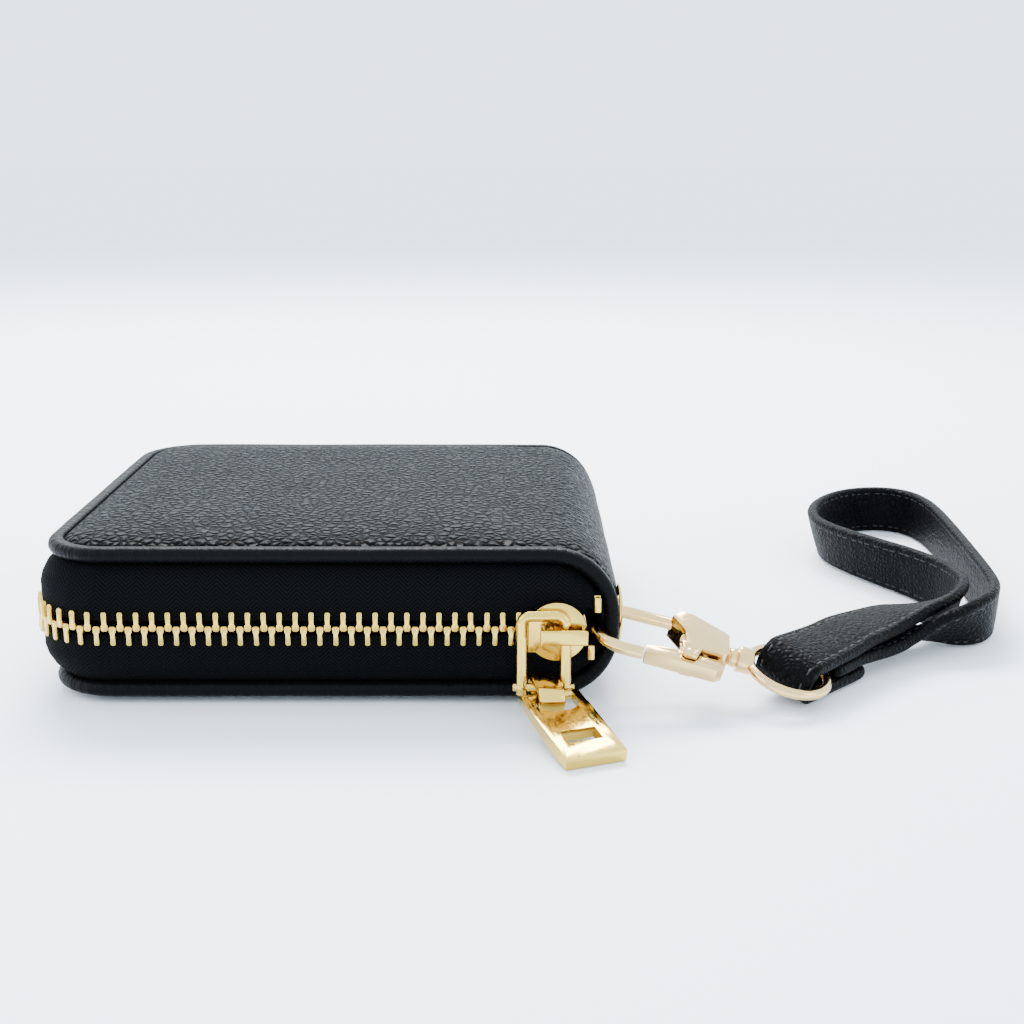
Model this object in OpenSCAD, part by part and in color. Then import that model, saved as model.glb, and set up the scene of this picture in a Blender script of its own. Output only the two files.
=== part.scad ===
// Zip-around wristlet wallet: two padded leather covers joined by a soft spine, a metal zip round
// the other three sides, a zipped coin page inside, and a wrist strap on a swivel clasp.
// Origin: the middle of the footprint, on the surface the wallet lies on.
// X runs towards the spine, Y away from the closed end of the zip, Z up.

/* [Wallet body] */
// Width from the zipped left side to the spine
body_w = 100; // [94:1:125]
// Depth along the spine
body_d = 90; // [78:1:112]
// Height between the outer faces of the upper and lower edge bindings
edge_h = 26.8; // [25.6:0.2:34]
// How far the padded middle of each cover stands proud of its binding
crown = 1.2; // [0.6:0.1:2]
// Plan radius of the two rounded corners
corner_r = 12; // [10.5:0.5:16]
// Straight height in the middle of the spine
spine_flat = 2.8; // [2:0.2:6]
// Angle above the spine's upper bend centre at which the cover folds open
fold_deg = 27; // [24:1:34]
// How far the wallet opens
open_deg = 135; // [90:5:140]

/* [Materials] */
// Thickness of the cover leather
leather_t = 1.4; // [1.2:0.1:1.8]
// Thickness of the stiffening board
board_t = 1; // [0.8:0.1:1.4]
// Thickness of the lining cloth
lining_t = 0.6; // [0.4:0.1:0.8]
// Height and width of the edge binding
binding = 2.8; // [2.4:0.1:3]
// Thickness of a card pocket sheet
sheet_t = 0.7; // [0.5:0.05:0.8]

/* [Main zip] */
// Spacing of the teeth on one tape
tooth_pitch = 2.7; // [2.5:0.05:3]
// Width of a tooth along the tape
tooth_w = 1.15; // [0.9:0.05:1.2]
// Height of the closed chain
chain_h = 6; // [5.6:0.1:6.4]
// Thickness of a tooth
tooth_t = 2.4; // [2:0.1:2.6]
// How far the zip bulges out beyond the bindings
bulge = 1.6; // [1:0.1:2.2]
// Thickness of the zip tape
tape_t = 0.8; // [0.6:0.1:0.9]

/* [Slider and pull] */
// Length of the slider
slider_len = 10; // [9.5:0.1:11]
// Thickness of the slider's plates
plate_t = 1; // [0.8:0.1:1.2]
// Diameter of the pull link's wire
link_wire = 1.9; // [1.6:0.1:2]
// Distance between the pull link's legs
link_w = 7.4; // [7:0.1:8]
// Length of the pull link's legs below its bend
link_drop = 12.6; // [11:0.1:13]
// Length of the puller plate
puller_len = 20; // [18:0.5:23]
// Width of the puller plate
puller_w = 10.5; // [9.8:0.1:12]
// Thickness of the puller plate
puller_t = 2; // [1.6:0.1:2.2]

/* [Eyelet and clasp] */
// Distance of the eyelet's centre from the front end of the spine
eyelet_in = 6.6; // [6.4:0.1:7.2]
// Bore of the eyelet
eyelet_bore = 6; // [5.8:0.1:6.2]
// Diameter of the eyelet's flange
eyelet_d = 10.5; // [9:0.5:10.5]
// Diameter of the clasp's hook wire
hook_wire = 2.2; // [2:0.1:2.3]
// Distance between the clasp's two arms
hook_w = 11; // [10.6:0.1:11.4]
// Diameter of the swivel ring's wire
ring_wire = 1.8; // [1.6:0.1:1.9]
// Radius of the swivel ring's centre line
ring_r = 6.9; // [6.9:0.1:7.4]

/* [Wrist strap] */
// Width of the strap
strap_w = 11; // [9:0.5:11]
// Thickness of the strap, two leathers and a filler
strap_t = 2.6; // [2.2:0.1:2.8]

/* [Coin page] */
// Thickness of the closed coin page
page_t = 8; // [6.5:0.5:8]
// Thickness of one coin page panel
page_panel_t = 1; // [0.8:0.1:1.2]
// Spacing of the coin zip's teeth
coin_pitch = 2; // [1.8:0.1:2.4]

/* [Hidden] */
$fn = 48;
e = 0.01;

half_w = body_w / 2;
half_d = body_d / 2;
z_lo = crown;
z_hi = crown + edge_h;
z_mid = (z_lo + z_hi) / 2;
wall_t = leather_t + board_t + lining_t;
z_in = z_lo + wall_t;
fit = 0.2;

// The spine is two bends with a short straight between them.
spine_r = (edge_h - spine_flat) / 2;
bend_x = half_w - spine_r;
bend_lo = z_lo + spine_r;
bend_hi = z_hi - spine_r;
fold_x = bend_x + spine_r * cos(fold_deg);
fold_z = bend_hi + spine_r * sin(fold_deg);

// The zip: tape profile, chain and slider, all measured outwards from the binding and from z_mid.
chain_half = chain_h / 2;
tape_gap = 1.3;
tape_foot = 8;
tape_mid = bulge - tape_t / 2;
slider_x = half_w - 5.8;
slider_half = 5.1;
slider_neck = 3.6;
tape_flat = slider_half + 0.5;
tape_end = half_w - 3.2;
throat_x = slider_x - 0.7;
throat_half = 3.4;
tooth_end = slider_x - 4.8;
zip_run = tooth_end - (-half_w + corner_r);
zip_arc = PI / 2 * (corner_r + tape_mid);
zip_side = body_d - 2 * corner_r;
zip_back_end = 36;
zip_len = zip_run + 2 * zip_arc + zip_side + zip_run - (tooth_end - zip_back_end);
tooth_count = floor((zip_len - tooth_pitch) / tooth_pitch);
// A smaller number of teeth than fills the tape would leave a gap at the bottom stop.
plate_out = tape_mid + tooth_t / 2 + 0.35;
plate_in = tape_mid - tooth_t / 2 - 0.35;

// A point on the zipped outline: x, y and the direction that faces outwards there.
function outline(s) = let (a = zip_run, b = a + zip_arc, c = b + zip_side, d = c + zip_arc)
    s < a ? [tooth_end - s, -half_d, -90] :
    s < b ? corner_point(-half_d + corner_r, -90 - 90 * (s - a) / zip_arc) :
    s < c ? [-half_w, -half_d + corner_r + s - b, -180] :
    s < d ? corner_point(half_d - corner_r, -180 - 90 * (s - c) / zip_arc) :
    [-half_w + corner_r + s - d, half_d, -270];
function corner_point(y, a) =
    [-half_w + corner_r + corner_r * cos(a), y + corner_r * sin(a), a];

// ---- Shared shapes ----

// Side view of the wallet, inside a skin of thickness t. It is open to the left.
module side_view(t) {
    translate([-half_w - 10, z_lo + t]) square([half_w + 10 + bend_x, edge_h - 2 * t]);
    for (z = [bend_lo, bend_hi]) translate([bend_x, z]) circle(spine_r - t, $fn = 96);
    translate([bend_x, bend_lo]) square([spine_r - t, spine_flat]);
}

// One layer of the wrap between two depths, along the whole spine.
module layer(t0, t1, inset) {
    intersection() {
        rotate([90, 0, 0]) linear_extrude(body_d, center = true) difference() {
            side_view(t0);
            side_view(t1);
        }
        linear_extrude(z_hi + 5) plan(inset);
    }
}

// Plan outline, drawn in by t. Its right side runs on past the spine.
module plan(t, x_end = half_w + 10) {
    r = max(corner_r - t, 1);
    x = -half_w + t;
    y = half_d - t;
    translate([x + r, -y]) square([x_end - x - r, 2 * y]);
    translate([x, -y + r]) square([r, 2 * y - 2 * r]);
    for (s = [-1, 1]) translate([x + r, s * (y - r)]) circle(r);
}

// Everything below the fold belongs to the base and everything above it to the lid.
module base_side() {
    reach = 40;
    rotate([90, 0, 0]) linear_extrude(body_d + 20, center = true)
        polygon([[-half_w - 15, -5], [-half_w - 15, z_mid], [bend_x - 6, z_mid], [bend_x, bend_hi],
            [bend_x + reach * cos(fold_deg), bend_hi + reach * sin(fold_deg)], [bend_x + reach, -5]]);
}

module lid_side() {
    reach = 40;
    rotate([90, 0, 0]) linear_extrude(body_d + 20, center = true)
        translate([-fit * sin(fold_deg), fit * cos(fold_deg)])
        polygon([[-half_w - 15, z_hi + 8], [-half_w - 15, z_mid], [bend_x - 6, z_mid],
            [bend_x, bend_hi], [bend_x + reach * cos(fold_deg), bend_hi + reach * sin(fold_deg)],
            [bend_x + reach, z_hi + 30]]);
}

// Turns a profile (outwards, up) into a strip round the three zipped sides.
module round_three_sides(x_end) {
    for (s = [-1, 1]) mirror([0, s < 0 ? 1 : 0, 0]) {
        translate([-half_w + corner_r, half_d, 0]) rotate([90, 0, 90])
            linear_extrude(x_end + half_w - corner_r) children();
        translate([-half_w + corner_r, half_d - corner_r, 0]) rotate([0, 0, 90])
            rotate_extrude(angle = 90) translate([corner_r, 0]) children();
    }
    translate([-half_w, 0, 0]) mirror([1, 0, 0]) rotate([90, 0, 0])
        linear_extrude(body_d - 2 * corner_r, center = true) children();
}

// Mirrors a shape from the lower half of the wallet to the upper half.
module upside() {
    translate([0, 0, 2 * z_mid]) mirror([0, 0, 1]) children();
}

// Three low steps that stand for the padded middle of a cover.
module padding() {
    steps = 3;
    for (i = [0 : steps - 1])
        translate([0, 0, z_lo - crown * (i + 1) / steps]) linear_extrude(crown / steps + e)
            plan(binding + 3 + 5 * i, bend_x - 2 - 6 * i);
}

module eyelet_hole(r) {
    translate([bend_x + 2, -half_d + eyelet_in, z_mid]) rotate([0, 90, 0]) cylinder(h = spine_r + 4, r = r);
}

// ---- Cover ----

module cover_bottom() {
    color("#23262a") difference() {
        union() {
            intersection() {
                layer(0, leather_t, binding);
                base_side();
            }
            padding();
        }
        eyelet_hole(eyelet_bore / 2 + 0.4);
    }
}

module cover_top() {
    color("#23262a") union() {
        intersection() {
            layer(0, leather_t, binding);
            lid_side();
        }
        upside() padding();
    }
}

// The binding's section: flat towards the cover and round outwards.
module binding_section() {
    r = binding / 2;
    translate([-r, -r]) circle(r);
    translate([-binding, -binding]) square([r, binding]);
}

// The binding round one end of the spine, between two angles.
module binding_bend(z, a0, a1) {
    translate([bend_x, -half_d, z]) rotate([90, 0, 0]) rotate([0, 0, a0])
        rotate_extrude(angle = a1 - a0, $fn = 96) translate([spine_r, 0]) mirror([1, -1]) binding_section();
}

// The binding round the lower cover's edge, carried round the lower bend to an angle.
module binding_edge(a_end) {
    mirror([0, 0, 1]) translate([0, 0, -z_lo]) round_three_sides(bend_x) binding_section();
    for (s = [0, 1]) mirror([0, s, 0]) binding_bend(bend_lo, -90, a_end);
}

module binding_bottom() {
    color("#1c1e22") {
        binding_edge(0);
        for (s = [0, 1]) mirror([0, s, 0]) {
            translate([half_w, -half_d, bend_lo]) rotate([0, 0, 90]) mirror([1, 0, 0]) mirror([0, 1, 0])
                linear_extrude(spine_flat) binding_section();
            binding_bend(bend_hi, 0, fold_deg);
        }
    }
}

module binding_top() { color("#1c1e22") upside() binding_edge(-fold_deg - 1); }

module board(t_end) {
    translate([0, 0, z_lo + leather_t]) linear_extrude(board_t) plan(binding, bend_x - t_end);
}

module board_bottom() { color("#b9a06c") board(1); }

module board_top() { color("#b9a06c") upside() board(1); }

module board_spine() {
    color("#b9a06c") difference() {
        intersection() {
            layer(leather_t, leather_t + board_t, binding);
            base_side();
            translate([bend_x, -half_d, z_lo + leather_t]) cube([spine_r, body_d, fold_z - z_lo - 4]);
        }
        eyelet_hole(eyelet_bore / 2 + 0.4);
    }
}

module lining_bottom() {
    color("#3a3c40") difference() {
        intersection() {
            layer(leather_t + board_t, wall_t, binding);
            base_side();
        }
        eyelet_hole(eyelet_bore / 2 + 0.4);
    }
}

module lining_top() {
    color("#3a3c40") intersection() {
        layer(leather_t + board_t, wall_t, binding);
        lid_side();
    }
}

// ---- Main zip ----

module tape() {
    foot = 2;
    difference() {
        intersection() {
            round_three_sides(tape_end) polygon([[-tape_foot, z_in], [-tape_foot, z_in + tape_t],
                [-foot, z_in + tape_t], [bulge - tape_t, z_mid - tape_flat],
                [bulge - tape_t, z_mid - tape_gap], [bulge, z_mid - tape_gap],
                [bulge, z_mid - tape_flat], [-foot + tape_t, z_in]]);
            rotate([90, 0, 0]) linear_extrude(body_d + 20, center = true) side_view(wall_t);
        }
        for (y = [-half_d - bulge, half_d + bulge]) translate([throat_x, y - 2, z_mid - throat_half])
            cube([10, 4, throat_half + 1]);
    }
}

// A tooth clamped on the tape's edge, with its middle at the outline.
module tooth(w = tooth_w) {
    nose = 0.5;
    inner = tape_mid - tooth_t / 2;
    outer = tape_mid + tooth_t / 2;
    rotate([90, 0, 90]) linear_extrude(w, center = true)
        polygon([[inner, -chain_half], [bulge - tape_t, -chain_half], [bulge - tape_t, -tape_gap],
            [bulge, -tape_gap], [bulge, -chain_half], [outer, -chain_half], [outer, nose], [inner, nose]]);
}

module on_outline(s) {
    p = outline(s);
    translate([p[0], p[1], z_mid]) rotate([0, 0, p[2] - 90]) children();
}

module zip_tape_lower() { color("#15161a") tape(); }

module zip_tape_upper() { color("#15161a") upside() tape(); }

module zip_teeth_lower() {
    color("#e2c478") for (i = [0 : tooth_count]) on_outline(i * tooth_pitch) tooth();
}

module zip_teeth_upper() {
    color("#e2c478") for (i = [0 : tooth_count - 1]) on_outline((i + 0.5) * tooth_pitch)
        mirror([0, 0, 1]) tooth();
}

// A stop at the closed end of the zip, clamped on the parted edge of one tape.
module zip_stop(x) {
    grip = 2.1;
    cap = 0.5;
    inner = tape_mid - tooth_t / 2;
    outer = tape_mid + tooth_t / 2;
    translate([x, -half_d, z_mid - throat_half]) rotate([90, 0, -90]) linear_extrude(tooth_w, center = true)
        polygon([[inner, -grip], [bulge - tape_t, -grip], [bulge - tape_t, 0], [bulge, 0], [bulge, -grip],
            [outer, -grip], [outer, cap], [inner, cap]]);
}

module zip_stop_lower() { color("#e2c478") zip_stop(slider_x + 0.75); }

module zip_stop_upper() { color("#e2c478") upside() zip_stop(slider_x + 1.8); }

// The clip that joins both tapes past the last tooth.
module zip_bottom_stop() {
    inner = tape_mid - tooth_t / 2;
    color("#e2c478") on_outline((tooth_count + 1.3) * tooth_pitch) difference() {
        translate([-1.6, inner, -tape_gap - 1.2]) cube([3.2, tooth_t, 2 * tape_gap + 1.2 - fit]);
        translate([-2, bulge - tape_t, -tape_gap - 2]) cube([4, tape_t, 2]);
    }
}

// ---- Eyelet ----

module eyelet() {
    wall = 0.4;
    lip = 0.6;
    color("#d9b777") translate([half_w, -half_d + eyelet_in, z_mid]) rotate([0, 90, 0])
        rotate_extrude($fn = 96) {
            translate([eyelet_bore / 2, -wall_t]) square([wall, wall_t + lip]);
            translate([eyelet_bore / 2, 0]) square([(eyelet_d - eyelet_bore) / 2, lip]);
        }
}

// ---- Card pockets ----

card_x0 = -half_w + 4;
card_x1 = bend_x + 7 * spine_r / 24;
card_z = z_in + tape_t + fit;
card_edge = half_d - 4.5;

// A flat sheet of one pocket: its layer number and how far back its mouth lies.
module card_sheet(n, mouth) {
    translate([0, 0, card_z + n * sheet_t]) linear_extrude(sheet_t) intersection() {
        plan(4, card_x1);
        translate([card_x0, -card_edge]) square([card_x1 - card_x0, mouth + card_edge]);
    }
}

pocket_step = 12;
pocket_mouth = half_d - 17;

module card_panel_base() { color("#34363a") card_sheet(0, card_edge); }
module card_pocket_base_1() { color("#2b2d31") card_sheet(1, pocket_mouth); }
module card_pocket_base_2() { color("#2b2d31") card_sheet(2, pocket_mouth - pocket_step); }
module card_pocket_base_3() { color("#2b2d31") card_sheet(3, pocket_mouth - 2 * pocket_step); }
module card_panel_lid() { color("#34363a") upside() card_sheet(0, card_edge); }
module card_pocket_lid_1() { color("#2b2d31") upside() card_sheet(1, pocket_mouth); }
module card_pocket_lid_2() { color("#2b2d31") upside() card_sheet(2, pocket_mouth - pocket_step); }

window_edge = 6;
window_t = 0.3;
window_h = 46;

module id_window() {
    color("#cfd8de", 0.5) upside() translate([card_x0 + 3, -card_edge + 3, card_z + 3 * sheet_t])
        cube([card_x1 - card_x0 - 6, window_h - 2, window_t]);
}

module id_frame() {
    color("#2b2d31") upside() translate([0, 0, card_z + 3 * sheet_t + window_t])
        linear_extrude(sheet_t) difference() {
            intersection() {
                plan(4, card_x1);
                translate([card_x0, -card_edge]) square([card_x1 - card_x0, window_h + 4]);
            }
            translate([card_x0 + window_edge, -card_edge + window_edge])
                square([card_x1 - card_x0 - 2 * window_edge, window_h + 4 - 2 * window_edge]);
        }
}

// ---- Coin page ----

page_x0 = -half_w + 7;
page_x1 = half_w - 14;
page_half = half_d - 7;
page_hinge_x = half_w - 7;
page_lo = z_mid - page_t / 2;
page_hi = z_mid + page_t / 2;
page_r = 5;
slot_y = page_half - 9;
slot_half = 3;
slot_x0 = page_x0 + 6;
slot_x1 = page_x1 - 6;
coin_gap = 0.4;
coin_tape_w = 6.6;
coin_tape_t = 0.6;
coin_tooth_t = 1.4;
coin_run = slot_x1 - slot_x0 - 10;

module page_plan(t) {
    x0 = page_x0 + t;
    x1 = page_x1 - t;
    y = page_half - t;
    r = page_r - t;
    translate([x0 + r, -y]) square([x1 - x0 - 2 * r, 2 * y]);
    translate([x0, -y + r]) square([x1 - x0, 2 * y - 2 * r]);
    for (x = [x0 + r, x1 - r], s = [-1, 1]) translate([x, s * (y - r)]) circle(r);
}

module page_back() {
    color("#2f3136") translate([0, 0, page_lo]) linear_extrude(page_panel_t) page_plan(0);
}

module page_front() {
    color("#2f3136") translate([0, 0, page_hi - page_panel_t]) linear_extrude(page_panel_t) difference() {
        page_plan(0);
        translate([slot_x0, slot_y - slot_half]) square([slot_x1 - slot_x0, 2 * slot_half]);
    }
}

module page_gusset() {
    color("#3a3c40") translate([0, 0, page_lo + page_panel_t])
        linear_extrude(page_t - 2 * page_panel_t) difference() {
            page_plan(0);
            page_plan(1);
        }
}

// The strip that carries the page: a rounded edge in line with the page's fold.
module page_flap() {
    color("#2b2d31") {
        translate([page_hinge_x, 0, z_mid]) rotate([90, 0, 0]) cylinder(h = 2 * page_half - 10, r = 1, center = true);
        translate([page_x1, -page_half + 5, z_mid - 1]) cube([page_hinge_x - page_x1, 2 * page_half - 10, 2]);
    }
}

module page_anchor() {
    color("#2b2d31") translate([page_hinge_x + 1 + fit, -page_half + 8, z_mid - 0.7])
        cube([half_w - wall_t - page_hinge_x - 1 - fit, 2 * page_half - 16, 1.4]);
}

module coin_tape() {
    color("#15161a") for (s = [-1, 1])
        translate([slot_x0 - 3, slot_y + s * (coin_gap + coin_tape_w / 2) - coin_tape_w / 2,
            page_hi - page_panel_t - coin_tape_t])
            cube([slot_x1 - slot_x0 + 6, coin_tape_w, coin_tape_t]);
}

coin_teeth_x0 = slot_x0 + 3;
coin_slider_len = 7;
coin_slider_x = slot_x1 - 2;
coin_count = floor((coin_slider_x - coin_slider_len - coin_teeth_x0) / coin_pitch);
coin_z = page_hi - page_panel_t;

module coin_teeth() {
    color("#e2c478") for (i = [0 : coin_count], s = [-1, 1])
        translate([coin_teeth_x0 + (i + (s > 0 ? 0.5 : 0)) * coin_pitch, slot_y + s * 0.7, coin_z + 0.55])
            cube([coin_pitch * 0.42, 2.4, 1.1], center = true);
}

module coin_stops() {
    color("#e2c478") for (s = [-1, 1])
        translate([coin_slider_x + 1, slot_y + s * 1.4, coin_z + 0.5]) cube([0.8, 1.8, 1], center = true);
}

// The coin slider: two plates joined by a post that runs in the gap between the tapes.
module coin_slider() {
    z0 = coin_z - coin_tape_t - fit - 0.6;
    z1 = coin_z + 1.1 + fit;
    color("#d9b777") {
        translate([coin_slider_x - coin_slider_len, slot_y - 2.6, z0]) cube([coin_slider_len, 5.2, 0.6]);
        translate([coin_slider_x - coin_slider_len, slot_y - 2.6, z1]) cube([coin_slider_len, 5.2, 0.6]);
        translate([coin_slider_x - 1.8, slot_y - 0.2, z0]) cube([1.4, 0.4, z1 - z0 + 0.3]);
        for (x = [0.8, 4.6]) translate([coin_slider_x - coin_slider_len + x, slot_y - 0.8, z1 + 0.6 - e])
            cube([0.7, 1.6, 1 + e]);
        translate([coin_slider_x - coin_slider_len + 0.8, slot_y - 0.8, z1 + 1.6]) cube([4.5, 1.6, 0.4]);
    }
}

// A flat tab with an eye round the coin slider's bridge, lying along the zip.
module coin_pull() {
    z1 = coin_z + 1.1 + fit + 0.6;
    color("#d9b777") translate([coin_slider_x - coin_slider_len + 3, slot_y, z1 + 0.5]) difference() {
        union() {
            rotate([90, 0, 0]) cylinder(h = 5, r = 0.4, center = true);
            for (s = [-1, 1]) translate([-9, s * 2.5 - 0.5, -0.4]) cube([9, 1, 0.8]);
            translate([-16, -3, -0.4]) cube([8, 6, 0.8]);
        }
        translate([-13.5, 0, -1]) cylinder(h = 2, r = 1.2);
    }
}

// ---- Main slider and pull ----

// Outline of the slider's plates in the front view, drawn in by t. X is measured from its right end.
module slider_outline(t) {
    translate([-slider_len, -slider_neck + t]) square([3, 2 * (slider_neck - t)]);
    polygon([[-slider_len + 2.5, -slider_neck + t], [-slider_half - 0.6, -slider_half + t],
        [-slider_half, -slider_half + t], [-slider_half, slider_half - t],
        [-slider_half - 0.6, slider_half - t], [-slider_len + 2.5, slider_neck - t]]);
    translate([-slider_half, 0]) circle(slider_half - t);
}

// Places a front-view shape at a distance outwards from the binding.
module at_front(o) {
    translate([slider_x, -half_d - o, z_mid]) rotate([90, 0, 0]) children();
}

post_x = -2.3;

module slider_body() {
    rail = 0.4;
    lip_out = bulge + 0.35;
    lip_in = bulge - tape_t - 0.35;
    color("#e8cf86") {
        at_front(plate_out) linear_extrude(plate_t) slider_outline(0);
        at_front(plate_in - plate_t) linear_extrude(plate_t) slider_outline(0);
        for (o = [[lip_out, plate_out], [plate_in, lip_in]])
            at_front(o[0] - e) linear_extrude(o[1] - o[0] + 2 * e) difference() {
                slider_outline(0);
                slider_outline(rail);
                translate([-slider_len - 1, -chain_half - fit]) square([20, chain_h + 2 * fit]);
                translate([-slider_half + 1.4, -10]) square([10, 20]);
            }
        at_front(plate_in - e) linear_extrude(plate_out - plate_in + 2 * e)
            polygon([[post_x - 1.3, 0], [post_x, 1], [post_x + 1.3, 0.6], [post_x + 1.3, -0.6], [post_x, -1]]);
    }
}

bridge_x0 = -slider_len + 2;
bridge_x1 = 0;
tunnel = 2.6;
bridge_h = 2.6;
bridge_t = 1;
pin_x = bridge_x0 + 1.8;

module slider_bridge() {
    o = plate_out + plate_t;
    color("#ecd48e") {
        for (x = [bridge_x0, bridge_x1 - 1]) at_front(o) translate([x, -bridge_h / 2, 0])
            cube([1, bridge_h, tunnel + e]);
        at_front(o + tunnel) difference() {
            translate([bridge_x0, -bridge_h / 2, 0]) cube([bridge_x1 - bridge_x0, bridge_h, bridge_t]);
            translate([pin_x, 0, -1]) cylinder(h = bridge_t, r = 0.5);
        }
    }
}

module slider_lock_pin() {
    o = plate_out + plate_t;
    color("#caa45a") at_front(o) translate([pin_x, 0, 0]) cylinder(h = tunnel + bridge_t - 1, r = 0.5);
}

// The pull link hangs with one leg through the bridge and its bend above it.
link_o = plate_out + plate_t + link_wire / 2 + 0.2;
link_x = slider_x - 3.7;
link_top = z_mid + 3.2;
link_foot = link_top - link_drop;
link_r = 1.6;
link_y = -half_d - link_o;

module pull_link() {
    r = link_wire / 2;
    x0 = link_x - link_w;
    color("#e8cf86") difference() {
        union() {
            for (x = [x0, link_x]) translate([x, link_y, link_foot - 1.2]) cylinder(h = link_drop - link_r + 1.2, r = r);
            translate([x0 + link_r, link_y, link_top]) rotate([0, 90, 0]) cylinder(h = link_w - 2 * link_r, r = r);
            for (i = [0, 1]) translate([i == 0 ? x0 + link_r : link_x - link_r, link_y, link_top - link_r])
                rotate([90, 0, 0]) rotate([0, 0, i == 0 ? 90 : 0]) rotate_extrude(angle = 90)
                    translate([link_r, 0]) circle(r);
            for (x = [x0, link_x]) translate([x, link_y, link_foot]) sphere(r + 0.15);
        }
        translate([x0 - 3, link_y, link_foot]) rotate([0, 90, 0]) cylinder(h = link_w + 6, r = pin_r);
    }
}

pin_r = 0.7;

module pull_pin() {
    color("#d9b777") translate([link_x - link_w - 1.5, link_y, link_foot]) rotate([0, 90, 0])
        cylinder(h = link_w + 3, r = pin_r);
}

// The connector is a flat loop of strip: one end rides on the pin, the other holds the puller.
conn_w = 4.4;
conn_in = 7.2;
conn_gap = 2.4;
conn_wall = 1.1;
conn_yaw = 13;
conn_dip = 6;
conn_slack = 0.5;

module loop_section(grow) {
    r = conn_gap / 2 + grow;
    for (x = [0, conn_in - conn_gap]) translate([x, 0]) circle(r);
    translate([0, -r]) square([conn_in - conn_gap, 2 * r]);
}

// Moves to the pin's middle, with X running out to the front.
module at_pin() {
    translate([link_x - link_w / 2, link_y, link_foot]) rotate([0, 0, -90 + conn_yaw])
        rotate([0, conn_dip, 0]) children();
}

module pull_connector() {
    color("#caa045") at_pin() rotate([90, 0, 0]) linear_extrude(conn_w, center = true) difference() {
        translate([-conn_slack, 0]) loop_section(conn_wall);
        translate([-conn_slack, 0]) loop_section(0);
    }
}

bar_r = 0.8;
bar_x = conn_in - conn_gap - 2 * conn_slack;
puller_yaw = 22;
// The far end of the puller rests on the table.
bar_z = link_foot - bar_x * sin(conn_dip);
puller_dip = asin((bar_z - puller_t / 2 - 0.15) / (puller_len - bar_r));

module at_bar() {
    translate([link_x - link_w / 2 + bar_x * cos(conn_dip) * sin(conn_yaw),
        link_y - bar_x * cos(conn_dip) * cos(conn_yaw), bar_z])
        rotate([0, 0, -90 + puller_yaw]) rotate([0, puller_dip, 0]) children();
}

module puller_plate() {
    hole_w = puller_w - 2.6;
    window_w = puller_w - 4.4;
    color("#ead28a") at_bar() difference() {
        union() {
            rotate([90, 0, 0]) cylinder(h = puller_w, r = bar_r, center = true);
            for (s = [-1, 1]) translate([0, s * (puller_w / 2 - 0.65) - 0.65, -bar_r]) cube([6, 1.3, 2 * bar_r]);
            translate([4, -puller_w / 2, -puller_t / 2]) cube([puller_len - 4 - bar_r, puller_w, puller_t]);
        }
        translate([bar_r + 0.01, 0, 0]) intersection() {
            translate([0, -hole_w / 2, -3]) cube([5.8 - bar_r, hole_w, 6]);
            translate([1, 0, -3]) cylinder(h = 6, r = hole_w / 2 + 0.35);
        }
        translate([puller_len - 8.4, -window_w / 2, -3]) cube([3.4, window_w, 6]);
    }
}

// ---- Swivel clasp ----

// The clasp lies with its far arm through the eyelet and slopes down to the strap on the table.
hook_half = hook_w / 2;
hook_r = hook_wire / 2;
clasp_roll = 16;
clasp_yaw = -2.5;
clasp_x = half_w + 1.1;
clasp_y = -half_d + 2.6;
clasp_z = z_mid - 1.8;
ring_u = 22.2 + ring_r;
ring_roll = 12;

// The strap's layers at its fold: they tilt towards the front and settle flat along the legs.
fold_dir = 48;
fold_tilt = 18;
fold_gap = ring_wire + 1.3;
bight_r = (strap_t + fold_gap) / 2;
layer_step = strap_t + 0.15;
lift_min = 0.15;
function tilt_at(u) = fold_tilt - 0.5 * max(u, 0);
function stack_z(u) = (layer_step + strap_t / 2) * cos(tilt_at(u)) + strap_w / 2 * sin(tilt_at(u)) + lift_min;
ring_z = stack_z(0);
clasp_dip = asin((clasp_z - ring_z) / ring_u);

module at_clasp(roll = clasp_roll) {
    translate([clasp_x, clasp_y, clasp_z]) rotate([0, 0, clasp_yaw]) rotate([0, clasp_dip, 0])
        rotate([roll, 0, 0]) children();
}

body_x0 = 9.4;
body_x1 = 18;
body_t = 4.4;
gate_px = 11.2;
gate_py = -4.3;
gate_tip = 3.6;
slot_t = 2.9;
neck_r = 1.1;
head_r = 1.7;
head_x = 13.2;

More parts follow.
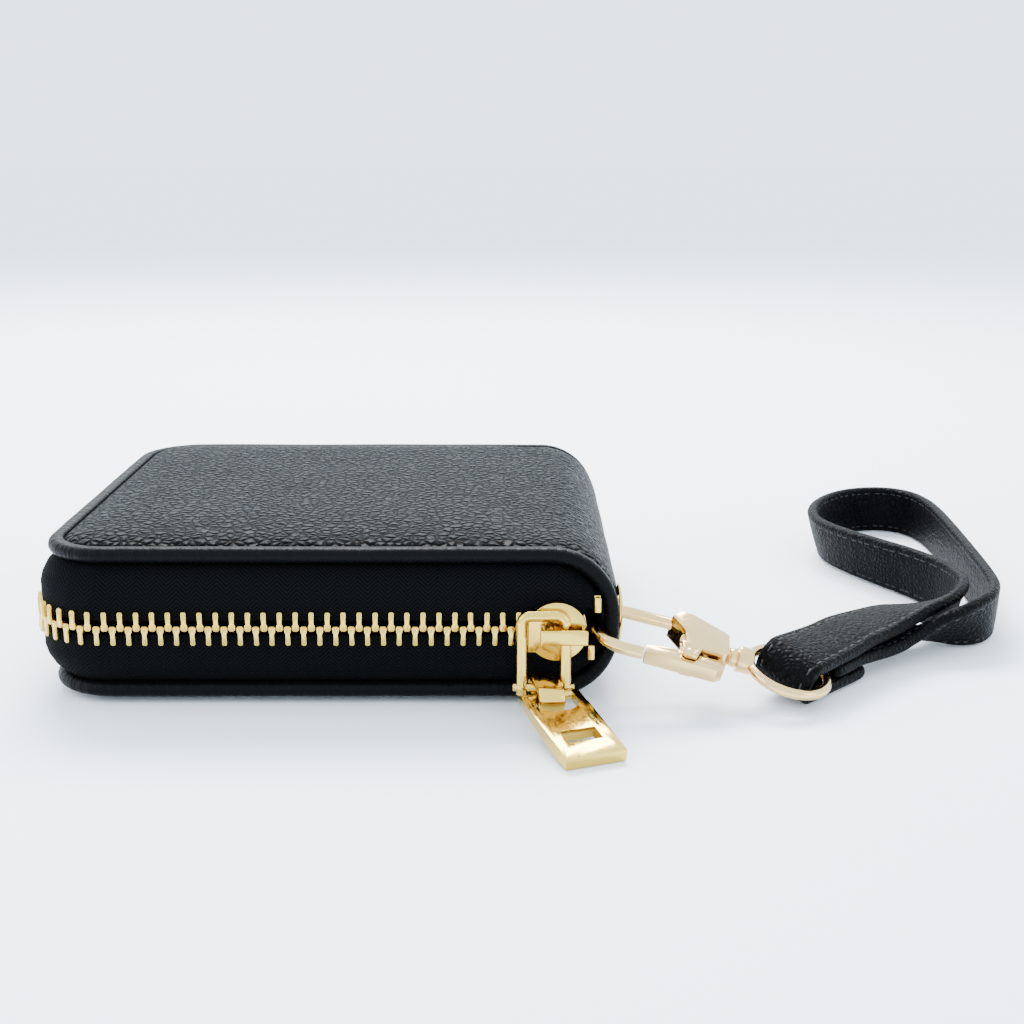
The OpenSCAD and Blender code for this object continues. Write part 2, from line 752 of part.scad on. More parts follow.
module clasp_body() {
    color("#e9cfa0") at_clasp() difference() {
        union() {
            // bow, far arm and the short near arm
            rotate([0, 0, 90]) rotate_extrude(angle = 180) translate([hook_half, 0]) circle(hook_r);
            translate([0, hook_half, 0]) rotate([0, 90, 0]) cylinder(h = body_x0 + 0.8, r = hook_r);
            translate([0, -hook_half, 0]) rotate([0, 90, 0]) cylinder(h = gate_tip - 0.3, r = hook_r);
            translate([0, 0, -body_t / 2]) linear_extrude(body_t)
                polygon([[body_x0 - 1.6, 4.9], [body_x0, 6.9], [body_x0 + 2.2, 6.8], [body_x1 - 0.6, 3.6],
                    [body_x1, 3], [body_x1, -2.4], [body_x1 - 0.6, -3], [body_x0 + 1.2, -3], [body_x0 + 0.7, 1.5]]);
            for (s = [-1, 1]) translate([0, 0, s * (slot_t / 2 + 0.4) - 0.4]) linear_extrude(0.8)
                polygon([[body_x0 + 0.3, -2], [body_x0 + 0.3, -5], [body_x0 + 1, -5.7], [body_x0 + 2.8, -5.7],
                    [body_x0 + 4.2, -2]]);
        }
        translate([gate_px, gate_py, 0]) cylinder(h = 10, r = pin_r, center = true);
        translate([body_x0 + 2, 0, 0]) rotate([0, 90, 0]) cylinder(h = 20, r = neck_r + 0.05);
        translate([body_x0 - 3, 0, 0]) rotate([0, 90, 0]) cylinder(h = head_x + 2.6 - body_x0 + 3, r = head_r + 0.2);
    }
}

module clasp_gate() {
    t = slot_t - 0.4;
    color("#e9cfa0") at_clasp() difference() {
        translate([0, 0, -t / 2]) linear_extrude(t)
            polygon([[gate_tip, -6.6], [gate_tip, -4.6], [8, -3.6], [gate_px, -3.3], [body_x0 + 3.6, -3.3],
                [body_x1 - 1, -3.4], [body_x1 - 0.8, -6], [body_x1 - 2, -7], [gate_px, -6.9]]);
        translate([gate_px, gate_py, 0]) cylinder(h = 10, r = pin_r + 0.05, center = true);
        translate([gate_px + 3, -2.6, 0]) cube([4, 2.6, 10], center = true);
    }
}

module gate_pin() {
    color("#c79f60") at_clasp() translate([gate_px, gate_py, 0]) cylinder(h = slot_t + 1.6, r = pin_r, center = true);
}

// A short coil that pushes the gate's tail away from the clasp body.
module gate_spring() {
    color("#b9b9b4") at_clasp() translate([gate_px + 3, -3.06, 0]) rotate([90, 0, 0]) rotate_extrude()
        translate([0.45, 0]) square([0.35, 0.75]);
}

module swivel_head() {
    color("#c79f60") at_clasp(ring_roll) translate([head_x, 0, 0]) rotate([0, 90, 0]) cylinder(h = 1.4, r = head_r);
}

module swivel_ring() {
    collar_x = body_x1 + 2.2;
    color("#e9cfa0") at_clasp(ring_roll) {
        rotate([0, 90, 0]) rotate_extrude() {
            translate([0, head_x + 1.4]) square([neck_r, collar_x - head_x - 1.3]);
            intersection() {
                translate([0, body_x1 + 1.3]) circle(1.7);
                translate([0, body_x1]) square([2, 2.6]);
            }
            translate([0, collar_x - 0.2]) square([2.3, 2.4]);
        }
        translate([ring_u, 0, 0]) rotate([0, 0, 25]) rotate_extrude() translate([ring_r, 0]) circle(ring_wire / 2);
    }
}

// ---- Wrist strap ----

// The strap's end folds round the ring. A place on the fold is given along the strap and up
// through its layers.
ring_at = [clasp_x + ring_u * cos(clasp_dip) * cos(clasp_yaw),
    clasp_y + ring_u * cos(clasp_dip) * sin(clasp_yaw), 0];
along = [cos(fold_dir), sin(fold_dir), 0];
function across_at(u) = let (a = tilt_at(u)) [sin(fold_dir) * cos(a), -cos(fold_dir) * cos(a), -sin(a)];
function fold_point(u, v) = ring_at + u * along + [0, 0, stack_z(u)] + v * cross(across_at(u), along);

// Every station of the strap is a centre point and the direction of its width.
bight_x = -strap_t / 2 + bight_r;
fold_start = [for (u = [19, 14, 9]) [fold_point(u, -layer_step), across_at(u)]];
fold_turn = [for (a = [-90 : -22.5 : -270])
    [fold_point(bight_x + bight_r * cos(a), bight_r * sin(a)), across_at(0)]];
fold_top = [for (u = [9, 14]) [fold_point(u, layer_step), across_at(u)]];

// The loop, from the upper leg round to the lower leg: x and y from the ring, the height of the
// strap's lowest edge above the table, then the roll of its width, which turns from lying flat to
// standing on edge and back.
loop_stations = [
    [14, 15, 5.9, -8], [19.6, 20.6, 6.1, -3], [27, 26.6, 5.7, 11], [33.6, 31.4, 3.1, 34],
    [38.4, 36.4, 0.9, 62], [41, 43, 0.2, 84], [40.4, 51.4, 0.15, 91], [36.8, 60, 0.15, 96],
    [31.8, 68.4, 0.15, 101], [26.8, 77.4, 0.15, 106], [23.6, 86.4, 0.15, 108],
    [23.8, 95.4, 0.15, 106], [27, 104.4, 0.15, 102], [32.4, 111.8, 0.15, 96], [38.8, 116, 0.15, 90],
    [45.2, 115.8, 0.15, 90], [49.6, 111.4, 0.15, 90], [51.4, 103.8, 0.15, 90],
    [51.6, 94.4, 0.15, 90], [51, 82.4, 0.15, 90], [50.1, 69.4, 0.15, 90], [49.1, 56.4, 0.15, 90],
    [48, 44.4, 0.15, 90], [46.2, 35.8, 0.15, 94], [42.6, 29.4, 0.15, 104], [37, 26.2, 0.15, 124],
    [31, 25.6, 0.7, 148], [25.2, 23.6, 1.8, 168], [19.6, 19.8, 2.7, 184]];
function standing(a) = strap_w / 2 * abs(sin(a)) + strap_t / 2 * abs(cos(a));
function loop_at(i) = let (p = loop_stations[i]) ring_at + [p[0], p[1], p[2] + standing(p[3])];
function unit(v) = v / norm(v);
function loop_dir(i) = unit(loop_at(min(i + 1, len(loop_stations) - 1)) - loop_at(max(i - 1, 0)));
function loop_width(i) = let (t = loop_dir(i), right = unit(cross(t, [0, 0, 1])),
    top = cross(right, t), a = loop_stations[i][3]) right * cos(a) + top * sin(a);
loop_path = [for (i = [0 : len(loop_stations) - 1]) [loop_at(i), loop_width(i)]];
leg_end = [for (u = [18, 13, ring_r + ring_wire / 2 + 0.7]) [fold_point(u, 0), across_at(u)]];

strap_path = concat(fold_start, fold_turn, fold_top, loop_path, leg_end);

function strap_dir(i) = unit(strap_path[min(i + 1, len(strap_path) - 1)][0] - strap_path[max(i - 1, 0)][0]);
// The section has eight corners, so the strap's edges look turned and soft.
section = [[0.5, -0.25], [0.5, 0.25], [0.42, 0.5], [-0.42, 0.5], [-0.5, 0.25], [-0.5, -0.25],
    [-0.42, -0.5], [0.42, -0.5]];
function strap_ring(i) = let (t = strap_dir(i), w = strap_path[i][1], across_w = unit(w - (w * t) * t),
    up_w = cross(across_w, t))
    [for (c = section) strap_path[i][0] + c[0] * strap_w * across_w + c[1] * strap_t * up_w];

module strap() {
    n = len(strap_path);
    m = len(section);
    points = [for (i = [0 : n - 1]) each strap_ring(i)];
    sides = [for (i = [0 : n - 2], j = [0 : m - 1]) let (a = i * m + j, b = i * m + (j + 1) % m)
        each [[a, b, b + m], [a, b + m, a + m]]];
    ends = [[for (j = [m - 1 : -1 : 0]) j], [for (j = [0 : m - 1]) (n - 1) * m + j]];
    color("#1b1d20") polyhedron(points, concat(sides, ends));
}

cover_bottom();
cover_top();
binding_bottom();
binding_top();
board_bottom();
board_top();
board_spine();
lining_bottom();
lining_top();
zip_tape_lower();
zip_tape_upper();
zip_teeth_lower();
zip_teeth_upper();
zip_stop_lower();
zip_stop_upper();
zip_bottom_stop();
eyelet();
card_panel_base();
card_pocket_base_1();
card_pocket_base_2();
card_pocket_base_3();
card_panel_lid();
card_pocket_lid_1();
card_pocket_lid_2();
id_window();
id_frame();
page_anchor();
page_flap();
page_back();
page_front();
page_gusset();
coin_tape();
coin_teeth();
coin_stops();
coin_slider();
coin_pull();
slider_body();
slider_bridge();
slider_lock_pin();
pull_link();
pull_pin();
pull_connector();
puller_plate();
clasp_body();
clasp_gate();
gate_pin();
gate_spring();
swivel_ring();
swivel_head();
strap();
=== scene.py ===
# %% [markdown]
# # A zip-around wristlet wallet
# This lesson dresses a jointed wallet. The hard frame is loaded first, then each soft piece is
# built over it and told which moving part it follows. Sizes are written in millimetres and turned
# into metres as a mesh is made, because leather goods are cut and measured in millimetres.

import math

import bmesh
import bpy
from mathutils import Matrix, Vector, noise
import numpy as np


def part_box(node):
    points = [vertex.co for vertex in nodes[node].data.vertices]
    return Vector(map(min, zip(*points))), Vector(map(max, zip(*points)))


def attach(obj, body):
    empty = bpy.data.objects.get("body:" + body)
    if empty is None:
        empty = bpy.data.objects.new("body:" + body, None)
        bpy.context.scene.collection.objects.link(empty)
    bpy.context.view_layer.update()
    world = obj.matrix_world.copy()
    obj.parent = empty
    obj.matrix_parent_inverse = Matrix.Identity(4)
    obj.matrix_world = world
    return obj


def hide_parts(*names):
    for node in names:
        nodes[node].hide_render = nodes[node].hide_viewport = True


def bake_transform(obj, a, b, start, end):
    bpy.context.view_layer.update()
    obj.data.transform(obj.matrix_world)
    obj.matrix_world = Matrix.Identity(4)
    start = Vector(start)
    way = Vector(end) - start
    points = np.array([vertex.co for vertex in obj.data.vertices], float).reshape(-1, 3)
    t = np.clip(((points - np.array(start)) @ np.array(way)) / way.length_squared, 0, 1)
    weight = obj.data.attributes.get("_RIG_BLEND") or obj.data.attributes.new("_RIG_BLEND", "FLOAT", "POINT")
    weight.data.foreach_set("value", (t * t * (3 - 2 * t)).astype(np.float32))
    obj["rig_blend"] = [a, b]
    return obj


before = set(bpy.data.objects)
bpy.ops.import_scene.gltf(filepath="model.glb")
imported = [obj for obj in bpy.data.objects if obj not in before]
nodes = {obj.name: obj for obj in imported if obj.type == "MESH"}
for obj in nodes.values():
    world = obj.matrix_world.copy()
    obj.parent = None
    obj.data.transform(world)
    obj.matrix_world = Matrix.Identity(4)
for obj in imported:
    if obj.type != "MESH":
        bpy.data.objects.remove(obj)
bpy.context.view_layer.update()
MM = 0.001
# Each hard part comes in with a flat coat named after its finish slot.
slot_of = {name: part.data.materials[0].name.split(".")[0] for name, part in nodes.items()}
for coat in list(bpy.data.materials):
    coat.name = "frame_" + coat.name
print("loaded", len(nodes), "nodes in", len(set(slot_of.values())), "finish slots")

# %% [markdown]
# ## Camera
# The camera comes first, so that every later choice can be judged from the same place. It looks a
# little down on the front corner, as somebody sitting at the table would.

# %% Camera
camera_data = bpy.data.cameras.new("camera")
camera = bpy.data.objects.new("camera", camera_data)
bpy.context.scene.collection.objects.link(camera)
camera.location = (0.0315, -0.2885, 0.0959)
camera.rotation_euler = (math.radians(75.85), 0, 0)
camera_data.lens = 52.7
camera_data.sensor_width = 36
camera_data.clip_start = 0.01
bpy.context.scene.camera = camera
print("camera", camera.location)

# %% [markdown]
# ## Finishes
# A finish is a small chain of shader nodes. It reads Object coordinates, so the grain keeps its
# real size on every piece. Raised grain is a bump: a height pattern that bends the light without
# adding geometry, which is right for relief far finer than the mesh.


# %% Finish helper
def new_finish(name, colour, rough, metal=0.0):
    """A plain finish, with the nodes that later steps build on."""
    finish = bpy.data.materials.new(name)
    finish.use_nodes = True
    shader = finish.node_tree.nodes["Principled BSDF"]
    shader.inputs["Base Color"].default_value = (*colour, 1)
    shader.inputs["Roughness"].default_value = rough
    shader.inputs["Metallic"].default_value = metal
    return finish, finish.node_tree, shader


def add_node(tree, kind, links=(), **values):
    """One shader node, with its constants set and its inputs linked."""
    made = tree.nodes.new(kind)
    for key, value in values.items():
        setattr(made, key, value)
    for socket, source in links:
        tree.links.new(source, made.inputs[socket])
    return made


def set_inputs(made, **values):
    """Constants for sockets whose names are words joined by spaces."""
    for key, value in values.items():
        made.inputs[key.replace("_", " ")].default_value = value
    return made


def add_bump(tree, shader, height, depth_mm, before=None):
    """Relief from a height pattern from 0 to 1, with its real depth."""
    bump = add_node(tree, "ShaderNodeBump", [("Height", height)])
    bump.inputs["Distance"].default_value = depth_mm * MM
    bump.inputs["Strength"].default_value = 1.0
    if before is not None:
        tree.links.new(before.outputs["Normal"], bump.inputs["Normal"])
    tree.links.new(bump.outputs["Normal"], shader.inputs["Normal"])
    return bump


def mix_colour(tree, shader, factor, dark, light):
    """The base colour goes from dark to light with the factor; every finish here uses it to paint shade into
    hollows.
    """
    ramp = add_node(tree, "ShaderNodeMix", data_type="RGBA")
    tree.links.new(factor, ramp.inputs["Factor"])
    ramp.inputs[6].default_value = (*dark, 1)
    ramp.inputs[7].default_value = (*light, 1)
    tree.links.new(ramp.outputs[2], shader.inputs["Base Color"])
    return ramp


def map_range(tree, value, low, high, to_low=0.0, to_high=1.0):
    """Turns a value from low to high into one from to_low to to_high, easing at both ends."""
    made = add_node(tree, "ShaderNodeMapRange", [("Value", value)])
    made.interpolation_type = "SMOOTHSTEP"
    made.inputs["From Min"].default_value = low
    made.inputs["From Max"].default_value = high
    made.inputs["To Min"].default_value = to_low
    made.inputs["To Max"].default_value = to_high
    return made.outputs["Result"]


print("finish helpers ready")

# %% [markdown]
# ## Pebbled leather
# Pebble grain is a pattern of small rounded cells with creases between them. A Voronoi texture's
# distance to the cell edge gives just that: it is zero in a crease and rises towards the middle of
# a pebble. A little noise moves the cells so that they are not too regular.


# %% Leather finishes
def pebbled(name, colour, crease_shade, pebble_mm, depth_mm, rough, shine=0.055, dim=0.16):
    """Grained leather with painted shade in its creases: they get a darker colour and less shine.
    dim is the share of the shine that is left in the creases.
    """
    finish, tree, shader = new_finish(name, colour, rough)
    place = add_node(tree, "ShaderNodeTexCoord")
    wander = set_inputs(add_node(tree, "ShaderNodeTexNoise", [("Vector", place.outputs["Object"])]),
                        Scale=420.0, Detail=2.0)
    moved = add_node(tree, "ShaderNodeVectorMath", operation="MULTIPLY_ADD")
    tree.links.new(wander.outputs["Color"], moved.inputs[0])
    moved.inputs[1].default_value = (0.0004, 0.0004, 0.0004)
    tree.links.new(place.outputs["Object"], moved.inputs[2])
    cells = set_inputs(add_node(tree, "ShaderNodeTexVoronoi", [("Vector", moved.outputs[0])],
                                feature="DISTANCE_TO_EDGE"), Scale=1000.0 / pebble_mm)
    height = map_range(tree, cells.outputs["Distance"], 0.0, 0.42)
    fine = set_inputs(add_node(tree, "ShaderNodeTexNoise", [("Vector", place.outputs["Object"])]),
                      Scale=3200.0, Detail=3.0)
    low_bump = add_bump(tree, shader, fine.outputs["Fac"], 0.012)
    add_bump(tree, shader, height, depth_mm, low_bump)
    # Painted shade: the creases between the pebbles take the darker colour.
    mix_colour(tree, shader, map_range(tree, cells.outputs["Distance"], 0.0, 0.16), crease_shade, colour)
    tree.links.new(map_range(tree, fine.outputs["Fac"], 0.3, 0.7, rough - 0.06, rough + 0.08),
                   shader.inputs["Roughness"])
    # Painted shade: creases get less shine, so the pebbles stay apart even where the view is almost level.
    tree.links.new(map_range(tree, cells.outputs["Distance"], 0.0, 0.17, shine * dim, shine),
                   shader.inputs["Specular IOR Level"])
    return finish


leather = pebbled("leather", (0.0016, 0.0022, 0.0027), (0.0003, 0.0004, 0.0005),
                  pebble_mm=1.6, depth_mm=0.65, rough=0.46)
strap_leather = pebbled("strap_leather", (0.0011, 0.0014, 0.0017), (0.0004, 0.0005, 0.0006),
                        pebble_mm=1.1, depth_mm=0.16, rough=0.5, shine=0.045, dim=0.8)


def wrinkled(name, colour, rough, across, along, depth_mm):
    """Smooth leather pulled round an edge: fine wrinkles lie across its run, which is read from
    the UV map as centimetres along and around."""
    finish, tree, shader = new_finish(name, colour, rough)
    place = add_node(tree, "ShaderNodeUVMap", uv_map="run")
    stretch = add_node(tree, "ShaderNodeMapping", [("Vector", place.outputs["UV"])])
    stretch.inputs["Scale"].default_value = (along, across, 1)
    waves = set_inputs(
        add_node(tree, "ShaderNodeTexNoise", [("Vector", stretch.outputs["Vector"])]),
        Scale=1.0, Detail=4.0, Roughness=0.55)
    spots = add_node(tree, "ShaderNodeTexCoord")
    grain = set_inputs(add_node(tree, "ShaderNodeTexNoise", [("Vector", spots.outputs["Object"])]),
                       Scale=2200.0, Detail=3.0)
    first = add_bump(tree, shader, grain.outputs["Fac"], 0.05)
    add_bump(tree, shader, map_range(tree, waves.outputs["Fac"], 0.3, 0.7), depth_mm, first)
    shader.inputs["Specular IOR Level"].default_value = 0.045
    tree.links.new(map_range(tree, grain.outputs["Fac"], 0.3, 0.7, rough - 0.07, rough + 0.1),
                   shader.inputs["Roughness"])
    return finish


binding_finish = wrinkled("binding", (0.0016, 0.0019, 0.0025), rough=0.4, across=1.2, along=9.0,
                          depth_mm=0.14)
print("leather finishes", leather.name, strap_leather.name, binding_finish.name)

# %% [markdown]
# ## Woven and lining cloth
# Zip tape is a twill: its ribs run in slanting pairs that make a herringbone. Two Wave textures
# would blur into each other, so the rib direction is flipped every few millimetres with a
# ping-pong of one coordinate before a single wave is drawn.


# %% Cloth finishes
def twill(name, dark, light, rough, rib_mm, depth_mm):
    """Herringbone cloth, read from the UV map along and around the tape, with painted shade in its rib
    valleys.
    """
    finish, tree, shader = new_finish(name, dark, rough)
    place = add_node(tree, "ShaderNodeUVMap", uv_map="run")
    parts = add_node(tree, "ShaderNodeSeparateXYZ", [("Vector", place.outputs["UV"])])
    flip = add_node(tree, "ShaderNodeMath", [(0, parts.outputs["X"])], operation="PINGPONG")
    flip.inputs[1].default_value = 0.17
    slant = add_node(tree, "ShaderNodeMath", [(0, flip.outputs[0]), (1, parts.outputs["Y"])],
                     operation="ADD")
    turns = add_node(tree, "ShaderNodeMath", [(0, slant.outputs[0])], operation="MULTIPLY")
    turns.inputs[1].default_value = 2 * math.pi * 10 / rib_mm
    wave = add_node(tree, "ShaderNodeMath", [(0, turns.outputs[0])], operation="SINE")
    height = map_range(tree, wave.outputs[0], -1, 1)
    add_bump(tree, shader, height, depth_mm)
    # Painted shade and highlight: the rib valleys take the dark colour and the rib tops the light one.
    mix_colour(tree, shader, height, dark, light)
    shader.inputs["Specular IOR Level"].default_value = 0.03
    return finish


tape_finish = twill("tape", (0.0006, 0.0007, 0.0009), (0.0026, 0.0029, 0.0037),
                    rough=0.8, rib_mm=0.75, depth_mm=0.09)


def cloth(name, colour, rough, thread_mm):
    """A plain weave: two crossed waves of thread, with painted shade in the dips between them."""
    finish, tree, shader = new_finish(name, colour, rough)
    place = add_node(tree, "ShaderNodeTexCoord")
    parts = add_node(tree, "ShaderNodeSeparateXYZ", [("Vector", place.outputs["Object"])])
    waves = []
    for axis in ("X", "Y"):
        turns = add_node(tree, "ShaderNodeMath", [(0, parts.outputs[axis])], operation="MULTIPLY")
        turns.inputs[1].default_value = 2 * math.pi * 1000 / thread_mm
        waves.append(add_node(tree, "ShaderNodeMath", [(0, turns.outputs[0])], operation="SINE"))
    both = add_node(tree, "ShaderNodeMath", [(0, waves[0].outputs[0]), (1, waves[1].outputs[0])],
                    operation="MULTIPLY")
    height = map_range(tree, both.outputs[0], -1, 1)
    add_bump(tree, shader, height, 0.05)
    # Painted shade: the dips between threads are darkened to 0.7 of the colour.
    mix_colour(tree, shader, height, tuple(c * 0.7 for c in colour), colour)
    shader.inputs["Specular IOR Level"].default_value = 0.08
    return finish


lining_finish = cloth("lining", (0.014, 0.0155, 0.019), rough=0.75, thread_mm=0.6)
pocket_finish = pebbled("pocket", (0.006, 0.007, 0.0085), (0.003, 0.0035, 0.004),
                        pebble_mm=0.8, depth_mm=0.05, rough=0.5)
board_finish = cloth("board", (0.45, 0.34, 0.18), rough=0.9, thread_mm=1.8)
thread_finish, thread_tree, thread_shader = new_finish("thread", (0.0035, 0.004, 0.0045), 0.7)
thread_place = add_node(thread_tree, "ShaderNodeTexCoord")
thread_twist = set_inputs(add_node(thread_tree, "ShaderNodeTexNoise",
                                   [("Vector", thread_place.outputs["Object"])]), Scale=4000.0)
add_bump(thread_tree, thread_shader, thread_twist.outputs["Fac"], 0.05)
print("cloth finishes", tape_finish.name, lining_finish.name, board_finish.name)

# %% [markdown]
# ## Metals
# Plated zinc looks cast: it is shiny, but its surface rolls very slightly. Slow noise in the bump
# breaks up each reflection, and finer noise in the roughness gives the soft patches that fingers
# leave.


# %% Metal finishes
def plated(name, colour, rough, roll=0.018):
    """Plated metal; roll is how far its surface rises and falls, in millimetres."""
    finish, tree, shader = new_finish(name, colour, rough, 1.0)
    place = add_node(tree, "ShaderNodeTexCoord")
    slow = set_inputs(add_node(tree, "ShaderNodeTexNoise", [("Vector", place.outputs["Object"])]),
                      Scale=380.0, Detail=2.0)
    fine = set_inputs(add_node(tree, "ShaderNodeTexNoise", [("Vector", place.outputs["Object"])]),
                      Scale=1500.0, Detail=3.0)
    add_bump(tree, shader, slow.outputs["Fac"], roll)
    tree.links.new(map_range(tree, fine.outputs["Fac"], 0.3, 0.75, rough * 0.7, rough * 1.5),
                   shader.inputs["Roughness"])
    return finish


gold = plated("gold", (0.66, 0.45, 0.09), 0.14)
gold_clasp = plated("gold_clasp", (0.70, 0.48, 0.20), 0.13)
spring_finish = plated("spring", (0.55, 0.55, 0.54), 0.25)
window_finish, window_tree, window_shader = new_finish("window", (0.85, 0.9, 0.93), 0.12)
window_shader.inputs["Transmission Weight"].default_value = 0.9
window_place = add_node(window_tree, "ShaderNodeTexCoord")
window_haze = set_inputs(add_node(window_tree, "ShaderNodeTexNoise",
                                  [("Vector", window_place.outputs["Object"])]), Scale=300.0)
add_bump(window_tree, window_shader, window_haze.outputs["Fac"], 0.02)
finishes = {"leather": leather, "strap_leather": strap_leather, "binding": binding_finish,
            "tape": tape_finish, "lining": lining_finish, "pocket": pocket_finish,
            "board": board_finish, "gold": gold, "gold_clasp": gold_clasp,
            "spring": spring_finish, "window": window_finish}
for node_name, node_object in nodes.items():
    node_object.data.materials.clear()
    chosen = finishes[slot_of[node_name]]
    # These two finishes read a UV map, which a frame part doesn't have.
    node_object.data.materials.append(
        lining_finish if chosen in (tape_finish, binding_finish) else chosen)
print("metal finishes", gold.name, gold_clasp.name, "for", len(slot_of), "nodes")

# %% [markdown]
# ## Making meshes
# Most pieces of a wallet are strips that keep one cross-section along a path. One helper sweeps a
# section through a list of places, each with an outward and an upward direction, and also lays a
# UV map along the strip so that a finish can tell along from around.


# %% Mesh helpers
def to_object(name, points, faces, finish, uv=None):
    """A closed mesh from points in millimetres, smooth and with its faces outwards."""
    mesh = bpy.data.meshes.new(name)
    mesh.from_pydata([tuple(c * MM for c in p) for p in points], [], faces)
    if uv is not None:
        layer = mesh.uv_layers.new(name="run")
        for loop in mesh.loops:
            layer.data[loop.index].uv = uv[loop.vertex_index]
    mesh.materials.append(finish)
    made = bpy.data.objects.new(name, mesh)
    bpy.context.scene.collection.objects.link(made)
    shape = bmesh.new()
    shape.from_mesh(mesh)
    bmesh.ops.recalc_face_normals(shape, faces=shape.faces)
    shape.to_mesh(mesh)
    shape.free()
    for face in mesh.polygons:
        face.use_smooth = True
    return made


def sweep(name, path, section, finish, closed=False):
    """path holds (place, outward, up); section holds (outward, up) pairs, or a function of the
    station number that gives them."""
    points, uv, faces = [], [], []
    run = 0.0
    for i, (place, out, up) in enumerate(path):
        place, out, up = Vector(place), Vector(out), Vector(up)
        if i:
            run += (place - Vector(path[i - 1][0])).length
        outline = section(i) if callable(section) else section
        around = 0.0
        for j, (a, b) in enumerate(outline):
            points.append(tuple(place + out * a + up * b))
            if j:
                around += math.dist(outline[j], outline[j - 1])
            uv.append((run / 10, around / 10))
    n, m = len(path), len(outline)
    for i in range(n if closed else n - 1):
        for j in range(m):
            a, b = i * m + j, i * m + (j + 1) % m
            c, d = ((i + 1) % n) * m + (j + 1) % m, ((i + 1) % n) * m + j
            faces.append((a, b, c, d))
    if not closed:
        faces.append(tuple(range(m))[::-1])
        faces.append(tuple((n - 1) * m + j for j in range(m)))
    return to_object(name, points, faces, finish, uv)


def place_piece(made, slot_name, body=None, *replaced):
    """Lets the piece ride on its body and hides what it stands for; slot_name is not used."""
    if body:
        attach(made, body)
    if replaced:
        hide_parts(*replaced)
    return made


def polished(node_name, body, round_mm, finish, angle=32):
    """A copy of a hard part with its edges rounded, as casting and plating leave them."""
    source = nodes[node_name]
    mesh = source.data.copy()
    made = bpy.data.objects.new(node_name + ".finished", mesh)
    bpy.context.scene.collection.objects.link(made)
    shape = bmesh.new()
    shape.from_mesh(mesh)
    bmesh.ops.remove_doubles(shape, verts=shape.verts, dist=0.002 * MM)
    bmesh.ops.dissolve_limit(shape, angle_limit=math.radians(1.0), verts=shape.verts,
                             edges=shape.edges)
    shape.to_mesh(mesh)
    shape.free()
    mesh.materials.clear()
    mesh.materials.append(finish)
    for face in mesh.polygons:
        face.use_smooth = True
    if round_mm:
        edge = made.modifiers.new("rounded", "BEVEL")
        edge.width = round_mm * MM
        edge.segments = 2
        edge.limit_method = "ANGLE"
        edge.angle_limit = math.radians(angle)
        edge.use_clamp_overlap = True
        edge.harden_normals = True
        graph = bpy.context.evaluated_depsgraph_get()
        final = bpy.data.meshes.new_from_object(made.evaluated_get(graph))
        made.modifiers.clear()
        made.data = final
    made.data.set_sharp_from_angle(angle=math.radians(40))
    place_piece(made, slot_of[node_name], body, node_name)
    return made


print("mesh helpers ready")

# %% [markdown]
# ## The wallet's outline
# The zip, its tapes and the edge binding all follow one rounded outline. Giving every place on it
# a number, the distance along from the front right end, keeps them in step with each other.

# %% Outline
HALF_W, HALF_D, CORNER = 50.0, 45.0, 12.0
Z_LO, Z_HI, Z_MID = 1.2, 28.0, 14.6
BEND_X, BEND_LO, BEND_HI, SPINE_R = 38.0, 13.2, 16.0, 12.0
COVER_HALF_W, COVER_HALF_D, COVER_R = 47.2, 42.2, 9.2
BEND_STEPS = 24


def outline_place(x_end, s, grow=0.0):
    """Place and outward direction at distance s along the outline, moved outwards by grow."""
    run = x_end + HALF_W - CORNER
    arc = (CORNER + 1.2) * math.pi / 2
    side = 2 * (HALF_D - CORNER)
    if s < run:
        x, y, a = x_end - s, -HALF_D, -90.0
    elif s < run + arc:
        a = -90 - 90 * (s - run) / arc
        x = -HALF_W + CORNER + CORNER * math.cos(math.radians(a))
        y = -HALF_D + CORNER + CORNER * math.sin(math.radians(a))
    elif s < run + arc + side:
        x, y, a = -HALF_W, -HALF_D + CORNER + s - run - arc, -180.0
    elif s < run + 2 * arc + side:
        a = -180 - 90 * (s - run - arc - side) / arc
        x = -HALF_W + CORNER + CORNER * math.cos(math.radians(a))
        y = HALF_D - CORNER + CORNER * math.sin(math.radians(a))
    else:
        x, y, a = -HALF_W + CORNER + s - run - 2 * arc - side, HALF_D, -270.0
    out = Vector((math.cos(math.radians(a)), math.sin(math.radians(a)), 0))
    return Vector((x, y, 0)) + out * grow, out


def outline_length(x_end):
    return 2 * (x_end + HALF_W - CORNER) + 2 * (CORNER + 1.2) * math.pi / 2 + 2 * (HALF_D - CORNER)


def outline_path(x_end, z, up, step=1.0):
    total = outline_length(x_end)
    count = int(total / step)
    return [(p + Vector((0, 0, z)), out, Vector((0, 0, up)))
            for p, out in (outline_place(x_end, total * i / count - (1e-6 if i == count else 0))
                           for i in range(count + 1))]


print("outline length", round(outline_length(46.8), 1), "mm")

# %% [markdown]
# ## The padded cover
# One piece of leather wraps the wallet: lower cover, spine and upper cover. It is a grid that
# follows the side view, with its inside left flat against the board and its outside crowned by
# the foam below it. The crown rises quickly from the binding's seam and then levels off, which is
# what foam under pulled leather does. A slow noise adds the small hollows that handling leaves.


# %% Cover leather
def edge_depth(x, y, r=COVER_R, half_w=COVER_HALF_W, half_d=COVER_HALF_D):
    """How far a place lies inside the cover's seam."""
    across = half_d - abs(y)
    if x > -half_w + r:
        return across
    if abs(y) < half_d - r:
        return min(x + half_w, across)
    return r - math.hypot(x + half_w - r, abs(y) - half_d + r)


def half_depth_at(x, r=COVER_R, half_w=COVER_HALF_W, half_d=COVER_HALF_D):
    """Half the cover's depth at x, less where its two left corners are rounded."""
    if x >= -half_w + r:
        return half_d
    return half_d - r + math.sqrt(max(r * r - (x + half_w - r) ** 2, 0))


